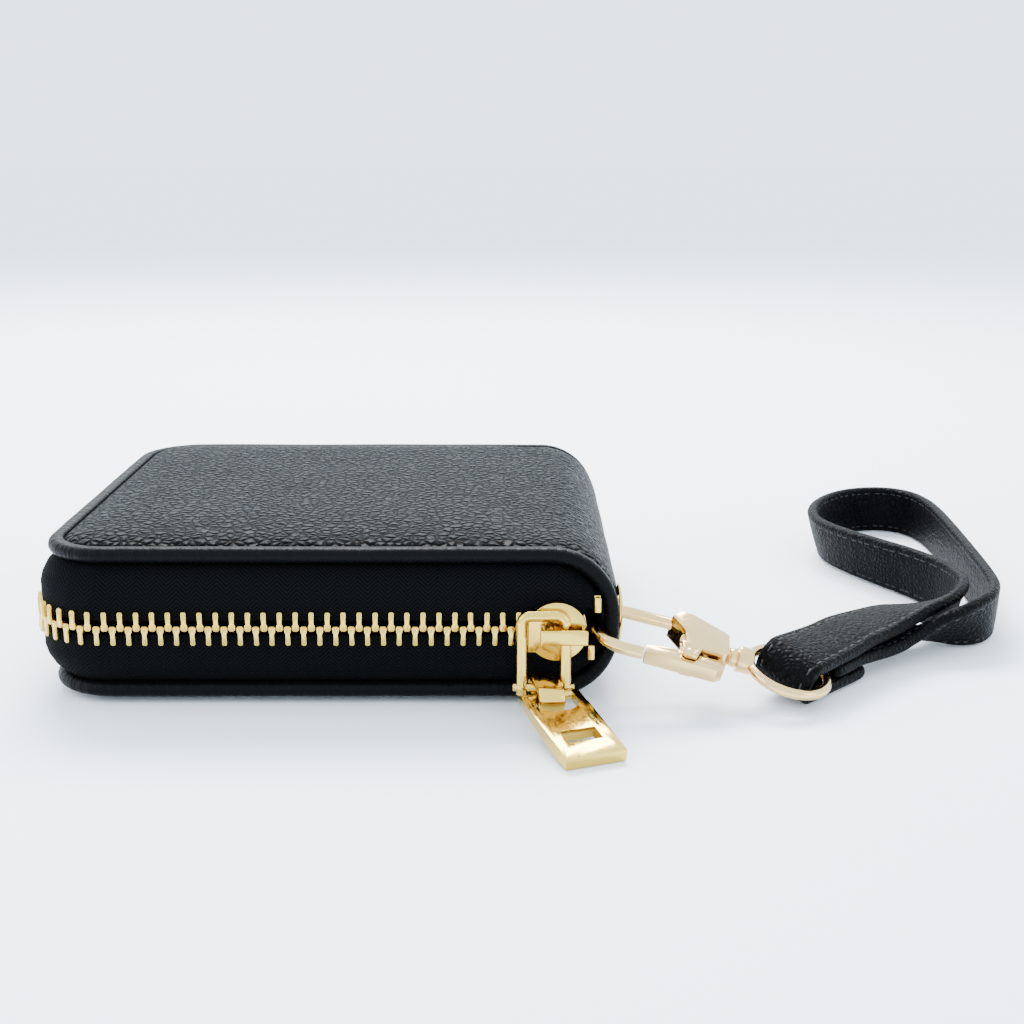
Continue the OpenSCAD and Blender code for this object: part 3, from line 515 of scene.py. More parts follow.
def crown_at(x, y, top):
    """How far the foam lifts the leather, with the hollows of use and a tuck at the seam."""
    inside = max(edge_depth(x, y), 0)
    rise = 1 - math.exp(-inside / 4.6)
    fade = min(max((x - 22) / 17, 0), 1)
    fade = 1 - fade * fade * (3 - 2 * fade)
    roll = noise.noise(Vector((x / 19, y / 17, 3.1 if top else 9.4))) * 0.22
    ripple = noise.noise(Vector((x / 7, y / 9, 5.7 if top else 1.4))) * 0.07
    lift = (1.12 + roll * rise) * rise * (0.25 + 0.75 * fade) + ripple * rise
    tuck = -0.75 * math.exp(-inside / 0.9)
    return min(lift, 1.2) + tuck


def side_stations():
    """Places along the side view: (x, z, outward x, outward z, on the top half)."""
    long, gather = BEND_X + COVER_HALF_W, 1.25
    stations = [(-COVER_HALF_W + long * (i / 100) ** gather, Z_LO, 0, -1, False)
                for i in range(101)]
    for i in range(1, BEND_STEPS + 1):
        a = math.radians(-90 + 90 * i / BEND_STEPS)
        stations.append((BEND_X + SPINE_R * math.cos(a), BEND_LO + SPINE_R * math.sin(a),
                         math.cos(a), math.sin(a), False))
    for i in range(0, 33):
        a = math.radians(90 * i / 32)
        stations.append((BEND_X + SPINE_R * math.cos(a), BEND_HI + SPINE_R * math.sin(a),
                         math.cos(a), math.sin(a), True))
    stations += [(-COVER_HALF_W + long * (1 - i / 100) ** gather, Z_HI, 0, 1, True)
                 for i in range(1, 101)]
    return stations


def across_shares(n=112):
    """Shares of the half depth from -1 to 1, closer together near the seams."""
    return [math.sin(math.pi / 2 * (2 * i / n - 1)) * 0.55 + (2 * i / n - 1) * 0.45
            for i in range(n + 1)]


def wrap_mesh(name, finish, depth_out, depth_in, crowned, shares):
    """One layer wrapped round the wallet, between two depths below the side view's line."""
    stations = side_stations()
    points = []
    for layer in (0, 1):
        for x, z, nx, nz, top in stations:
            half = max(half_depth_at(x), 4.0)
            for share in shares:
                y = share * half
                offset = -depth_out if layer == 0 else -depth_in
                if layer == 0 and crowned:
                    offset += crown_at(min(x, 39), y, top)
                points.append((x + nx * offset, y, z + nz * offset))
    n, m = len(stations), len(shares)
    faces = []
    for i in range(n - 1):
        for j in range(m - 1):
            a = i * m + j
            faces.append((a, a + 1, a + m + 1, a + m))
            b = a + n * m
            faces.append((b, b + m, b + m + 1, b + 1))
    rim = ([j for j in range(m)] + [i * m + m - 1 for i in range(1, n)]
           + [(n - 1) * m + j for j in range(m - 2, -1, -1)] + [i * m for i in range(n - 2, 0, -1)])
    for k in range(len(rim)):
        a, b = rim[k], rim[(k + 1) % len(rim)]
        faces.append((a, b, b + n * m, a + n * m))
    return to_object(name, points, faces, finish)


cover = wrap_mesh("cover_leather", leather, 0.0, 1.4, True, across_shares())
cover.data.set_sharp_from_angle(angle=math.radians(60))
place_piece(cover, "leather", None, "cover_bottom", "cover_top")
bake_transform(cover, "base", "lid", start=(0, 0, 0.0185), end=(0, 0, 0.0245))
lining = wrap_mesh("lining_cloth", lining_finish, 2.4, 3.0, False, across_shares(40))
lining.data.set_sharp_from_angle(angle=math.radians(60))
place_piece(lining, "lining", None, "lining_bottom", "lining_top")
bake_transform(lining, "base", "lid", start=(0, 0, 0.0185), end=(0, 0, 0.0245))

# %% [markdown]
# ## The edge binding
# A folded strip of smooth leather covers the raw edges. It runs as one closed loop: along the
# lower edge, round the spine, and back along the upper edge. Its section is flat towards the cover
# and round outwards. Small changes of height along the run keep it from looking moulded.


# %% Binding
def round_bend(y, z, start, turn, steps):
    """Places round a quarter of the spine's end; start and turn are in degrees."""
    bend = []
    for i in steps:
        a = math.radians(start + turn * i / BEND_STEPS)
        radial = Vector((math.cos(a), 0, math.sin(a)))
        bend.append((Vector((BEND_X, y, z)) + radial * SPINE_R,
                     Vector((0, math.copysign(1, y), 0)), radial))
    return bend


def binding_path():
    path = outline_path(BEND_X, Z_LO, -1)
    path += round_bend(HALF_D, BEND_LO, -90, 90, range(1, BEND_STEPS + 1))
    path += round_bend(HALF_D, BEND_HI, 0, 90, range(BEND_STEPS + 1))
    path += outline_path(BEND_X, Z_HI, 1)[::-1][1:]
    path += round_bend(-HALF_D, BEND_HI, 90, -90, range(1, BEND_STEPS + 1))
    path += round_bend(-HALF_D, BEND_LO, 0, -90, range(BEND_STEPS))
    return path


def binding_section(i):
    """The folded strip's section at station i, a little fuller or flatter from place to place."""
    swell = 0.10 * noise.noise(Vector((i / 9.0, 4.2, 0)))
    dent = 0.16 * noise.noise(Vector((i / 26.0, 8.8, 0)))
    r = 1.4
    section = [(-2.8, -2.75), (-1.4, -2.8)]
    for k in range(1, 12):
        a = math.radians(-90 + 180 * k / 12)
        rise = r + dent * max(math.sin(a), 0) - 0.05
        section.append((-1.4 + (r + swell - 0.05) * math.cos(a), -1.4 + rise * math.sin(a)))
    return section + [(-1.4, -0.05 + dent * 0.6), (-2.2, -0.07 + dent * 0.5), (-2.62, -0.2),
                      (-2.8, -0.5)]


binding = sweep("binding_strip", binding_path(), binding_section, binding_finish, closed=True)
place_piece(binding, "binding", None, "binding_bottom", "binding_top")
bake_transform(binding, "base", "lid", start=(0, 0, 0.0185), end=(0, 0, 0.0245))
print("binding", len(binding.data.polygons), "faces")

# %% [markdown]
# ## Zip tapes
# Each tape is woven with a herringbone and bends from flat inside the wallet to upright behind the
# teeth. Near the spine it is cut back so that the mouth of the zip can spread as the lid opens.


# %% Tapes
TAPE = [(-8, 4.2), (-8, 5.0), (-5, 5.0), (-2, 5.0), (-0.4, 6.7), (0.5, 8.1), (0.8, 8.9),
        (0.8, 11.0), (0.8, 13.3), (1.6, 13.3), (1.6, 11.0), (1.6, 8.9), (1.2, 7.4), (0.2, 5.6),
        (-1.2, 4.2), (-4.5, 4.2)]
TAPE_END = 46.2


def tape_strip(name, lower):
    """One tape, following the outline; the upper one is the lower one's mirror."""
    path = outline_path(TAPE_END, 0, 1)

    def section(i):
        x = path[i][0].x
        floor = 4.2 if x < BEND_X else 13.25 - math.sqrt(max(81 - (x - BEND_X) ** 2, 0))
        ripple = 0.10 * noise.noise(Vector((i / 8.0, 2.2 if lower else 6.1, 0)))
        shape = []
        for out, z in TAPE:
            z = floor + (z - 4.2) * (13.3 - floor) / 9.1
            if x > 43.5:
                z = min(z, 11.2 - (0.02 if out < 1 else 0))
            shape.append((out + (ripple if 5.5 < z < 11 else 0), z if lower else 2 * Z_MID - z))
        return shape

    made = sweep(name, path, section, tape_finish)
    made.data.set_sharp_from_angle(angle=math.radians(50))
    body = "base" if lower else "lid"
    place_piece(made, "tape", body, "zip_tape_lower" if lower else "zip_tape_upper")
    return made


tapes = [tape_strip("zip_tape.lower", True), tape_strip("zip_tape.upper", False)]
print("tapes", [len(t.data.polygons) for t in tapes])

# %% [markdown]
# ## Teeth and stitches
# Hundreds of small equal shapes are best placed by a node tree: one tooth is modelled once, points
# carry its places and turns, and the tree puts a copy on each. The copies are then made real and
# turned into one plain mesh for each body, because the lower teeth stay with the base while the
# upper ones lift with the lid.


# %% Repeat tree
def repeat_tree():
    tree = bpy.data.node_groups.new("repeat_shape", "GeometryNodeTree")
    for label, kind in (("Points", "NodeSocketGeometry"), ("Shape", "NodeSocketObject"),
                        ("Finish", "NodeSocketMaterial"), ("Unevenness", "NodeSocketFloat"),
                        ("Seed", "NodeSocketInt")):
        tree.interface.new_socket(name=label, in_out="INPUT", socket_type=kind)
    tree.interface.new_socket(name="Result", in_out="OUTPUT", socket_type="NodeSocketGeometry")
    inputs = tree.nodes.new("NodeGroupInput")
    shape = tree.nodes.new("GeometryNodeObjectInfo")
    turn = tree.nodes.new("GeometryNodeInputNamedAttribute")
    turn.data_type = "FLOAT_VECTOR"
    turn.inputs["Name"].default_value = "turn"
    sway = tree.nodes.new("FunctionNodeRandomValue")
    sway.data_type = "FLOAT_VECTOR"
    sway.inputs[0].default_value = (-1, -1, -1)
    sway.inputs[1].default_value = (1, 1, 1)
    scaled = tree.nodes.new("ShaderNodeVectorMath")
    scaled.operation = "SCALE"
    total = tree.nodes.new("ShaderNodeVectorMath")
    total.operation = "ADD"
    copies = tree.nodes.new("GeometryNodeInstanceOnPoints")
    real = tree.nodes.new("GeometryNodeRealizeInstances")
    paint = tree.nodes.new("GeometryNodeSetMaterial")
    result = tree.nodes.new("NodeGroupOutput")
    link = tree.links.new
    link(inputs.outputs["Shape"], shape.inputs["Object"])
    link(inputs.outputs["Seed"], sway.inputs["Seed"])
    link(sway.outputs[0], scaled.inputs[0])
    link(inputs.outputs["Unevenness"], scaled.inputs["Scale"])
    link(turn.outputs[0], total.inputs[0])
    link(scaled.outputs[0], total.inputs[1])
    link(inputs.outputs["Points"], copies.inputs["Points"])
    link(shape.outputs["Geometry"], copies.inputs["Instance"])
    link(total.outputs[0], copies.inputs["Rotation"])
    link(copies.outputs[0], real.inputs[0])
    link(real.outputs[0], paint.inputs["Geometry"])
    link(inputs.outputs["Finish"], paint.inputs["Material"])
    link(paint.outputs[0], result.inputs["Result"])
    return tree


REPEAT = repeat_tree()


def repeated(name, places, shape, finish, slot_name, body, unevenness=0.0, seed=3):
    """places holds (point in mm, turn as an Euler); one plain mesh comes back."""
    mesh = bpy.data.meshes.new(name + "_points")
    mesh.from_pydata([tuple(c * MM for c in p) for p, turn in places], [], [])
    turns = mesh.attributes.new("turn", "FLOAT_VECTOR", "POINT")
    for i, (p, turn) in enumerate(places):
        turns.data[i].vector = tuple(turn)
    holder = bpy.data.objects.new(name, mesh)
    bpy.context.scene.collection.objects.link(holder)
    copier = holder.modifiers.new("copies", "NODES")
    copier.node_group = REPEAT
    values = {"Shape": shape, "Finish": finish, "Unevenness": unevenness, "Seed": seed}
    for item in REPEAT.interface.items_tree:
        if item.in_out == "INPUT" and item.name in values:
            copier[item.identifier] = values[item.name]
    bpy.context.view_layer.update()
    graph = bpy.context.evaluated_depsgraph_get()
    final = bpy.data.meshes.new_from_object(holder.evaluated_get(graph))
    holder.modifiers.clear()
    holder.data = final
    for layer in [a.name for a in final.attributes if a.name == "turn"]:
        final.attributes.remove(final.attributes[layer])
    place_piece(holder, slot_name, body)
    return holder


def small_shape(name, sx, sy, sz, round_mm):
    """A small block with bevelled edges; it isn't linked to the scene, only copied from."""
    shape = bmesh.new()
    bmesh.ops.create_cube(shape, size=1.0)
    for vert in shape.verts:
        vert.co = Vector((vert.co.x * sx, vert.co.y * sy, vert.co.z * sz)) * MM
    bmesh.ops.bevel(shape, geom=list(shape.edges), offset=round_mm * MM, segments=1,
                    affect="EDGES", profile=0.5)
    bmesh.ops.recalc_face_normals(shape, faces=shape.faces)
    mesh = bpy.data.meshes.new(name)
    shape.to_mesh(mesh)
    shape.free()
    for face in mesh.polygons:
        face.use_smooth = True
    return bpy.data.objects.new(name, mesh)


print("repeat tree with", len(REPEAT.nodes), "nodes")

# %% [markdown]
# ## Zip teeth
# A metal tooth is closed round the tape's edge: broad shoulders grip it and a round nose meets the
# teeth across from it. The two rows stand half a pitch apart, so that the noses mesh. A short
# outline in four rings is enough for a shape that is repeated nearly two hundred times.

# %% Zip teeth
TOOTH_PITCH, TEETH_END, TEETH_OUT = 2.7, 39.4, 1.2


def tooth_shape():
    """A metal tooth seen from the front: broad shoulders on the tape and a round nose."""
    outline = [(-0.50, -1.5), (-0.30, -1.75), (0.30, -1.75), (0.50, -1.5), (0.47, 0.35),
               (0.64, 0.75), (0.65, 1.45), (0.38, 1.75), (-0.38, 1.75), (-0.65, 1.45),
               (-0.64, 0.75), (-0.47, 0.35)]
    shape = bmesh.new()
    rings = []
    for depth, grow in ((-1.2, 0.85), (0.8, 1.0), (1.08, 0.93), (1.2, 0.72)):
        rings.append([shape.verts.new((x * grow * MM, depth * MM, (z * (grow * 0.3 + 0.7)) * MM))
                      for x, z in outline])
    n = len(outline)
    for a, b in zip(rings, rings[1:]):
        for j in range(n):
            shape.faces.new((a[j], a[(j + 1) % n], b[(j + 1) % n], b[j]))
    shape.faces.new(rings[0][::-1])
    shape.faces.new(rings[-1])
    bmesh.ops.recalc_face_normals(shape, faces=shape.faces)
    mesh = bpy.data.meshes.new("tooth")
    shape.to_mesh(mesh)
    shape.free()
    for face in mesh.polygons:
        face.use_smooth = True
    return bpy.data.objects.new("tooth", mesh)


def tooth_places(count, shift, z, flip):
    places = []
    for i in range(count):
        spot, out = outline_place(TEETH_END, i * TOOTH_PITCH + shift, TEETH_OUT)
        facing = Matrix.Rotation(math.atan2(out.y, out.x) - math.pi / 2, 3, "Z")
        if flip:
            facing = facing @ Matrix.Rotation(math.pi, 3, "Y")
        places.append((spot + Vector((0, 0, z)), facing.to_euler()))
    return places


TOOTH = tooth_shape()
lower_teeth = repeated("zip_teeth.lower", tooth_places(95, 0, 13.35, False), TOOTH, gold, "gold",
                       "base", unevenness=0.03)
upper_teeth = repeated("zip_teeth.upper", tooth_places(94, TOOTH_PITCH / 2, 15.85, True), TOOTH,
                       gold, "gold", "lid", unevenness=0.03, seed=5)
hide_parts("zip_teeth_lower")
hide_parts("zip_teeth_upper")
for part in (lower_teeth, upper_teeth):
    part.data.set_sharp_from_angle(angle=math.radians(48))
print("teeth", len(lower_teeth.data.polygons), len(upper_teeth.data.polygons), "faces")

# %% [markdown]
# ## Slider, pull and clasp
# The metal parts keep the frame's exact shape, so that they still fit and move. Each copy but the
# pull's link has its edges rounded by a bevel, because a sharp edge never catches the light as a
# cast one does.

# %% Metal parts
for node_name, body, round_mm in (
        ("slider_body", "slider", 0.22), ("slider_bridge", "slider", 0.35),
        ("slider_lock_pin", "slider", 0.1), ("pull_link", "link", 0.0), ("pull_pin", "link", 0.15),
        ("pull_connector", "connector", 0.25), ("puller_plate", "puller", 0.16),
        ("zip_stop_lower", "base", 0.2), ("zip_stop_upper", "lid", 0.2),
        ("zip_bottom_stop", "base", 0.3)):
    polished(node_name, body, round_mm, gold)
for node_name, body, round_mm in (
        ("clasp_body", "clasp", 0.14), ("clasp_gate", "gate", 0.22), ("gate_pin", "clasp", 0.1),
        ("swivel_ring", "swivel", 0.2), ("swivel_head", "swivel", 0.15)):
    polished(node_name, body, round_mm, gold_clasp)
print("metal parts polished")

# %% [markdown]
# ## Eyelet
# An eyelet is a turned part: a barrel through the spine with a flange pressed over. A profile
# spun round its axis gives it the rounded lip that a pressed tube has.


# %% Eyelet
def spun(name, profile, centre, finish, count=48):
    """Turns a closed profile of (radius, x) round a line along X through the centre."""
    points, faces = [], []
    for i in range(count):
        a = 2 * math.pi * i / count
        for r, x in profile:
            points.append((centre[0] + x, centre[1] + r * math.cos(a), centre[2] + r * math.sin(a)))
    m = len(profile)
    for i in range(count):
        for j in range(m):
            a, b = i * m + j, i * m + (j + 1) % m
            c, d = ((i + 1) % count) * m + (j + 1) % m, ((i + 1) % count) * m + j
            faces.append((a, b, c, d))
    return to_object(name, points, faces, finish)


EYELET_PROFILE = [(3.0, -2.9), (3.0, 0.2), (3.12, 0.45), (3.4, 0.58), (3.9, 0.6), (4.6, 0.5),
                  (5.1, 0.26), (5.24, 0.05), (5.1, 0.0), (3.4, 0.0), (3.4, -2.9)]
eyelet = spun("eyelet.turned", EYELET_PROFILE, (HALF_W, -38.4, Z_MID), gold)
eyelet.data.set_sharp_from_angle(angle=math.radians(40))
place_piece(eyelet, "gold", "base", "eyelet")
print("eyelet", len(eyelet.data.polygons), "faces")

# %% [markdown]
# ## Wrist strap
# The strap is a flat strip stitched from a folded length of leather. It is modelled directly: a
# list of stations says where its middle is and how its width turns, and a smooth curve joins them.
# It leaves the ring, turns up on edge and loops back, because a stiff strip lies on its edge when
# it is bent sideways.

# %% Strap stations
RING_AT = Vector((79.29, -43.6, 0))
STRAP_W, STRAP_T, LIFT, STEP = 11.0, 2.6, 0.15, 2.75
FOLD_DIR, FOLD_TILT, BIGHT_R = math.radians(48), 18.0, 2.85
ALONG = Vector((math.cos(FOLD_DIR), math.sin(FOLD_DIR), 0))


def tilt_at(u):
    """The strip's slope across its width, at distance u from the ring."""
    return math.radians(FOLD_TILT - 0.5 * max(u, 0))


def across_at(u):
    a = tilt_at(u)
    level = math.cos(a)
    return Vector((math.sin(FOLD_DIR) * level, -math.cos(FOLD_DIR) * level, -math.sin(a)))


def fold_place(u, v):
    """A place in the folded end: u along from the ring, v through the strip's thickness."""
    a = tilt_at(u)
    height = (STEP + STRAP_T / 2) * math.cos(a) + STRAP_W / 2 * math.sin(a) + LIFT
    return RING_AT + ALONG * u + Vector((0, 0, height)) + across_at(u).cross(ALONG) * v


# Each station: how far right of the ring and behind it, the lift of the lower edge, and the roll.
LOOP = [(14, 15, 5.9, -8), (19.6, 20.6, 6.1, -3), (27, 26.6, 5.7, 11), (33.6, 31.4, 3.1, 34),
        (38.4, 36.4, 0.9, 62), (41, 43, 0.2, 84), (40.4, 51.4, 0.15, 91), (36.8, 60, 0.15, 96),
        (31.8, 68.4, 0.15, 101), (26.8, 77.4, 0.15, 106), (23.6, 86.4, 0.15, 108),
        (23.8, 95.4, 0.15, 106), (27, 104.4, 0.15, 102), (32.4, 111.8, 0.15, 96),
        (38.8, 116, 0.15, 90), (45.2, 115.8, 0.15, 90), (49.6, 111.4, 0.15, 90),
        (51.4, 103.8, 0.15, 90), (51.6, 94.4, 0.15, 90), (51, 82.4, 0.15, 90),
        (50.1, 69.4, 0.15, 90), (49.1, 56.4, 0.15, 90), (48, 44.4, 0.15, 90),
        (46.2, 35.8, 0.15, 94), (42.6, 29.4, 0.15, 104), (37, 26.2, 0.15, 124),
        (31, 25.6, 0.7, 148), (25.2, 23.6, 1.8, 168), (19.6, 19.8, 2.7, 184)]


def loop_place(i):
    dx, dy, lift, roll = LOOP[i]
    a = math.radians(roll)
    half_height = STRAP_W / 2 * abs(math.sin(a)) + STRAP_T / 2 * abs(math.cos(a))
    return RING_AT + Vector((dx, dy, lift + half_height))


def loop_width(i):
    t = (loop_place(min(i + 1, len(LOOP) - 1)) - loop_place(max(i - 1, 0))).normalized()
    right = t.cross(Vector((0, 0, 1))).normalized()
    a = math.radians(LOOP[i][3])
    return right * math.cos(a) + right.cross(t) * math.sin(a)


bight_x = -STRAP_T / 2 + BIGHT_R
stations = [(fold_place(u, -STEP), across_at(u)) for u in (19, 14, 9)]
for k in range(9):
    a = math.radians(-90 - 22.5 * k)
    stations.append((fold_place(bight_x + BIGHT_R * math.cos(a), BIGHT_R * math.sin(a)),
                     across_at(0)))
stations += [(fold_place(u, STEP), across_at(u)) for u in (9, 14)]
stations += [(loop_place(i), loop_width(i)) for i in range(len(LOOP))]
stations += [(fold_place(u, 0), across_at(u)) for u in (18, 13, 8.5)]
print("strap stations", len(stations))

# %% [markdown]
# ## The strap's ribbon
# A curve through the stations gives the middle line, and the same curve through the widths turns
# the section smoothly from flat to on edge. A Catmull-Rom curve passes through every station and
# needs no handles. The section's edges are round, as on leather that is painted and burnished.


# %% Strap
def curve_through(items, i, t):
    """A smooth value between station i and the next, at share t."""
    a, b = items[max(i - 1, 0)], items[i]
    c, d = items[min(i + 1, len(items) - 1)], items[min(i + 2, len(items) - 1)]
    return (b * 2 + (c - a) * t + (a * 2 - b * 5 + c * 4 - d) * t * t
            + (b * 3 - a - c * 3 + d) * t * t * t) * 0.5


centres = [s[0] for s in stations]
widths = [s[1] for s in stations]
fine_path = []
for i in range(len(stations) - 1):
    parts = max(2, round((centres[i + 1] - centres[i]).length / 0.9))
    for k in range(parts):
        t = k / parts
        fine_path.append((curve_through(centres, i, t), curve_through(widths, i, t).normalized()))
fine_path.append((centres[-1], widths[-1]))


def strap_frame(i):
    """Middle, direction of the width and direction of the thickness at a place on the strap."""
    p, w = fine_path[i]
    t = (fine_path[min(i + 1, len(fine_path) - 1)][0] - fine_path[max(i - 1, 0)][0]).normalized()
    w = (w - t * w.dot(t)).normalized()
    return p, w, w.cross(t)


strap_path = [strap_frame(i) for i in range(len(fine_path))]


def strap_section(i):
    """Soft faces that dip at the stitch lines, and round painted edges."""
    ends = min(i, len(strap_path) - 1 - i)
    shrink = 1.0 - 0.10 * math.exp(-ends / 0.8)
    pinch = 0.06 * noise.noise(Vector((i / 5.0, 1.7, 0)))
    half = []
    for a, b in ((5.5, 0.0), (5.44, 0.5), (5.25, 0.88), (4.9, 1.1), (4.45, 1.15), (4.1, 1.09),
                 (3.7, 1.16), (2.2, 1.24 + pinch), (0, 1.26 + pinch)):
        half.append((a * shrink, b * shrink))
    top = half + [(-a, b) for a, b in reversed(half[:-1])]
    bottom = [(a, -b) for a, b in reversed(top[1:-1])]
    return top + bottom


strap = sweep("strap.ribbon", strap_path, strap_section, strap_leather)
strap.data.set_sharp_from_angle(angle=math.radians(70))
place_piece(strap, "strap_leather", "strap", "strap")
strap_length = sum((b[0] - a[0]).length for a, b in zip(strap_path, strap_path[1:]))
print("strap", round(strap_length, 1), "mm long,", len(strap.data.polygons), "faces")

# %% [markdown]
# ## Stitches on the strap
# Two rows of saddle stitches hold the folded strip together. They sit in the dips near its edges,
# each one a short thread with pressed ends.

# %% Strap stitches
STITCH = small_shape("stitch", 1.5, 0.42, 0.3, 0.12)


def stitches_along(name, path, offsets, heights, pitch, body, slot_name, skip=0, shape=STITCH):
    """Rows of stitches beside a path of (place, width, upward); skip leaves its ends bare."""
    places, run, due = [], 0.0, pitch / 2
    for i in range(1, len(path)):
        p, w, h = path[i]
        last = path[i - 1][0]
        run += (p - last).length
        if run >= due:
            due += pitch
            if i < skip or i > len(path) - 1 - skip:
                continue
            t = (p - last).normalized()
            turn = Matrix((t, h.cross(t), h)).transposed().to_euler()
            for a in offsets:
                for b in heights:
                    places.append((p + w * a + h * b, turn))
    return repeated(name, places, shape, thread_finish, slot_name, body, 0.04)


strap_stitches = stitches_along("strap.stitches", strap_path, (-4.1, 4.1), (-0.99, 0.99), 2.3,
                                "strap", "strap_leather", skip=2)
print("strap stitches", len(strap_stitches.data.polygons), "faces")

# %% [markdown]
# ## Card pockets
# Each pocket is a thin sheet of leather with a turned mouth. The sheets step back from each other
# so that a card shows above each mouth.


# %% Pocket sheets
def page_outline(x0, x1, y0, y1, radii):
    """A rectangle with its four corners rounded, from the front left, walking round."""
    corners = ((x0, y0, 180, radii[0]), (x1, y0, 270, radii[1]), (x1, y1, 0, radii[2]),
               (x0, y1, 90, radii[3]))
    points = []
    for cx, cy, a0, r in corners:
        mx = cx + (r if cx == x0 else -r)
        my = cy + (r if cy == y0 else -r)
        for k in range(7):
            a = math.radians(a0 + 90 * k / 6)
            points.append((mx + r * math.cos(a), my + r * math.sin(a)))
    return points


def soft_slab(name, outline, z0, z1, finish, bulge=0.0, edge=0.25, rings=7):
    """A sheet with rounded edges; its upper face bulges a little. Rings of the outline shrink
    towards the middle, so both faces close without a hole."""
    cx = sum(p[0] for p in outline) / len(outline)
    cy = sum(p[1] for p in outline) / len(outline)
    thick = z1 - z0
    edge = min(edge, thick * 0.45)

    def ring(share, z, wave):
        made = []
        for x, y in outline:
            px, py = cx + (x - cx) * share, cy + (y - cy) * share
            made.append((px, py, z + wave * noise.noise(Vector((px / 16, py / 16, z0)))))
        return made

    reach = 1 - edge / 30
    stack = [ring(0.001, z0, 0)] + [ring(k / rings * reach, z0, 0) for k in range(1, rings + 1)]
    stack += [ring(1, z0 + edge, 0), ring(1, z1 - edge, 0)]
    stack += [ring(reach - k / rings * reach if k < rings else 0.001,
                   z1 + bulge * min(k, 2) / 2 * 0.6, bulge * 0.4 * min(k, 1))
              for k in range(rings + 1)]
    m = len(outline)
    points = [p for r in stack for p in r]
    faces = [(i * m + j, i * m + (j + 1) % m, (i + 1) * m + (j + 1) % m, (i + 1) * m + j)
             for i in range(len(stack) - 1) for j in range(m)]
    faces += [tuple(range(m))[::-1], tuple((len(stack) - 1) * m + j for j in range(m))]
    made = to_object(name, points, faces, finish)
    made.data.set_sharp_from_angle(angle=math.radians(60))
    return made


def flip_over(made):
    """Moves a piece from the lower half of the wallet to the upper half."""
    for vert in made.data.vertices:
        vert.co.z = 2 * Z_MID * MM - vert.co.z
    made.data.flip_normals()


CARD_X0, CARD_X1, CARD_EDGE = -46, 41.5, 40.5
CARD_Z, CARD_STEP = 5.2, 0.7
for half, body, mouths in (("base", "base", (40.5, 28, 16, 4)), ("lid", "lid", (40.5, 28, 16))):
    for n, mouth in enumerate(mouths):
        node_name = f"card_panel_{half}" if n == 0 else f"card_pocket_{half}_{n}"
        back = 8 if n == 0 else 1.2
        outline = page_outline(CARD_X0, CARD_X1, -CARD_EDGE, mouth, (8, 1, 1, back))
        floor = CARD_Z + n * CARD_STEP
        made = soft_slab(node_name + ".soft", outline, floor + 0.04, floor + 0.62, pocket_finish)
        if half == "lid":
            flip_over(made)
        place_piece(made, "pocket", body, node_name)

# %% [markdown]
# ## Stitches on the pockets
# Each pocket's mouth has one row of short stitches just below its turned edge. The strap's helper
# lays them too, with a finer stitch and a straight path.


# %% Pocket stitches
def flat_row(x0, y0, x1, y1, z, up, step=1.0):
    """A straight level path for stitches, from one corner to the other."""
    start, end, upward = Vector((x0, y0, z)), Vector((x1, y1, z)), Vector((0, 0, up))
    t = (end - start).normalized()
    count = max(int((end - start).length / step), 2)
    return [(start.lerp(end, k / count), upward.cross(t), upward) for k in range(count + 1)]


POCKET_STITCH = small_shape("pocket_stitch", 1.4, 0.32, 0.16, 0.06)
POCKET_PITCH = 2.4
mouth_levels = {"base": ((28, 1), (16, 2), (4, 3)), "lid": ((28, 1), (16, 2))}
for half, up in (("base", 1), ("lid", -1)):
    for mouth, n in mouth_levels[half]:
        z = CARD_Z + n * CARD_STEP + 0.64
        z = z if up > 0 else 2 * Z_MID - z
        row = flat_row(-44, mouth - 2, 40, mouth - 2, z, up)
        stitches_along(f"card_pocket_{half}_{n}.stitches", row, (0,), (0,), POCKET_PITCH, half,
                       "pocket", shape=POCKET_STITCH)
print("pocket stitches done")

# %% [markdown]
# ## Coin page
# The page between the card sides is a zipped pocket: two soft panels joined by a gusset. The front
# panel is cut for its own small zip. The panels turn with the page, at half the lid's angle.


# %% Coin page
def framed_slab(name, outer, inner, z0, z1, finish, bulge=0.3):
    """A panel with an opening: both outlines have the same number of points, and faces run
    between them."""
    m = len(outer)
    edge = 0.25
    rings = []
    cx = sum(p[0] for p in outer) / m
    cy = sum(p[1] for p in outer) / m
    for z, share in ((z0, 0.985), (z0 + edge, 1.0), (z1 - edge, 1.0), (z1, 0.985)):
        rings.append([(cx + (x - cx) * share, cy + (y - cy) * share, z) for x, y in outer])
    for t in (0.3, 0.65, 1.0):
        lift = bulge * math.sin(math.pi * t) if t < 1 else 0
        rings.append([(o[0] + (i[0] - o[0]) * t, o[1] + (i[1] - o[1]) * t, z1 + lift)
                      for o, i in zip(rings[0], inner)])
    rings.append([(x, y, z0) for x, y in inner])
    points = [p for r in rings for p in r]
    n = len(rings)
    faces = [(i * m + j, i * m + (j + 1) % m, ((i + 1) % n) * m + (j + 1) % m,
              ((i + 1) % n) * m + j) for i in range(n) for j in range(m)]
    made = to_object(name, points, faces, finish)
    made.data.set_sharp_from_angle(angle=math.radians(60))
    return made


page_edge = page_outline(-43, 36, -38, 38, (5, 5, 5, 5))
slot_edge = page_outline(-37, 30, 26, 32, (0.6, 0.6, 0.6, 0.6))
back_panel = soft_slab("page_back.soft", page_edge, 10.6, 11.55, pocket_finish)
place_piece(back_panel, "pocket", "page", "page_back")
front_panel = framed_slab("page_front.soft", page_edge, slot_edge, 17.6, 18.5, pocket_finish, 0.08)
place_piece(front_panel, "pocket", "page", "page_front")


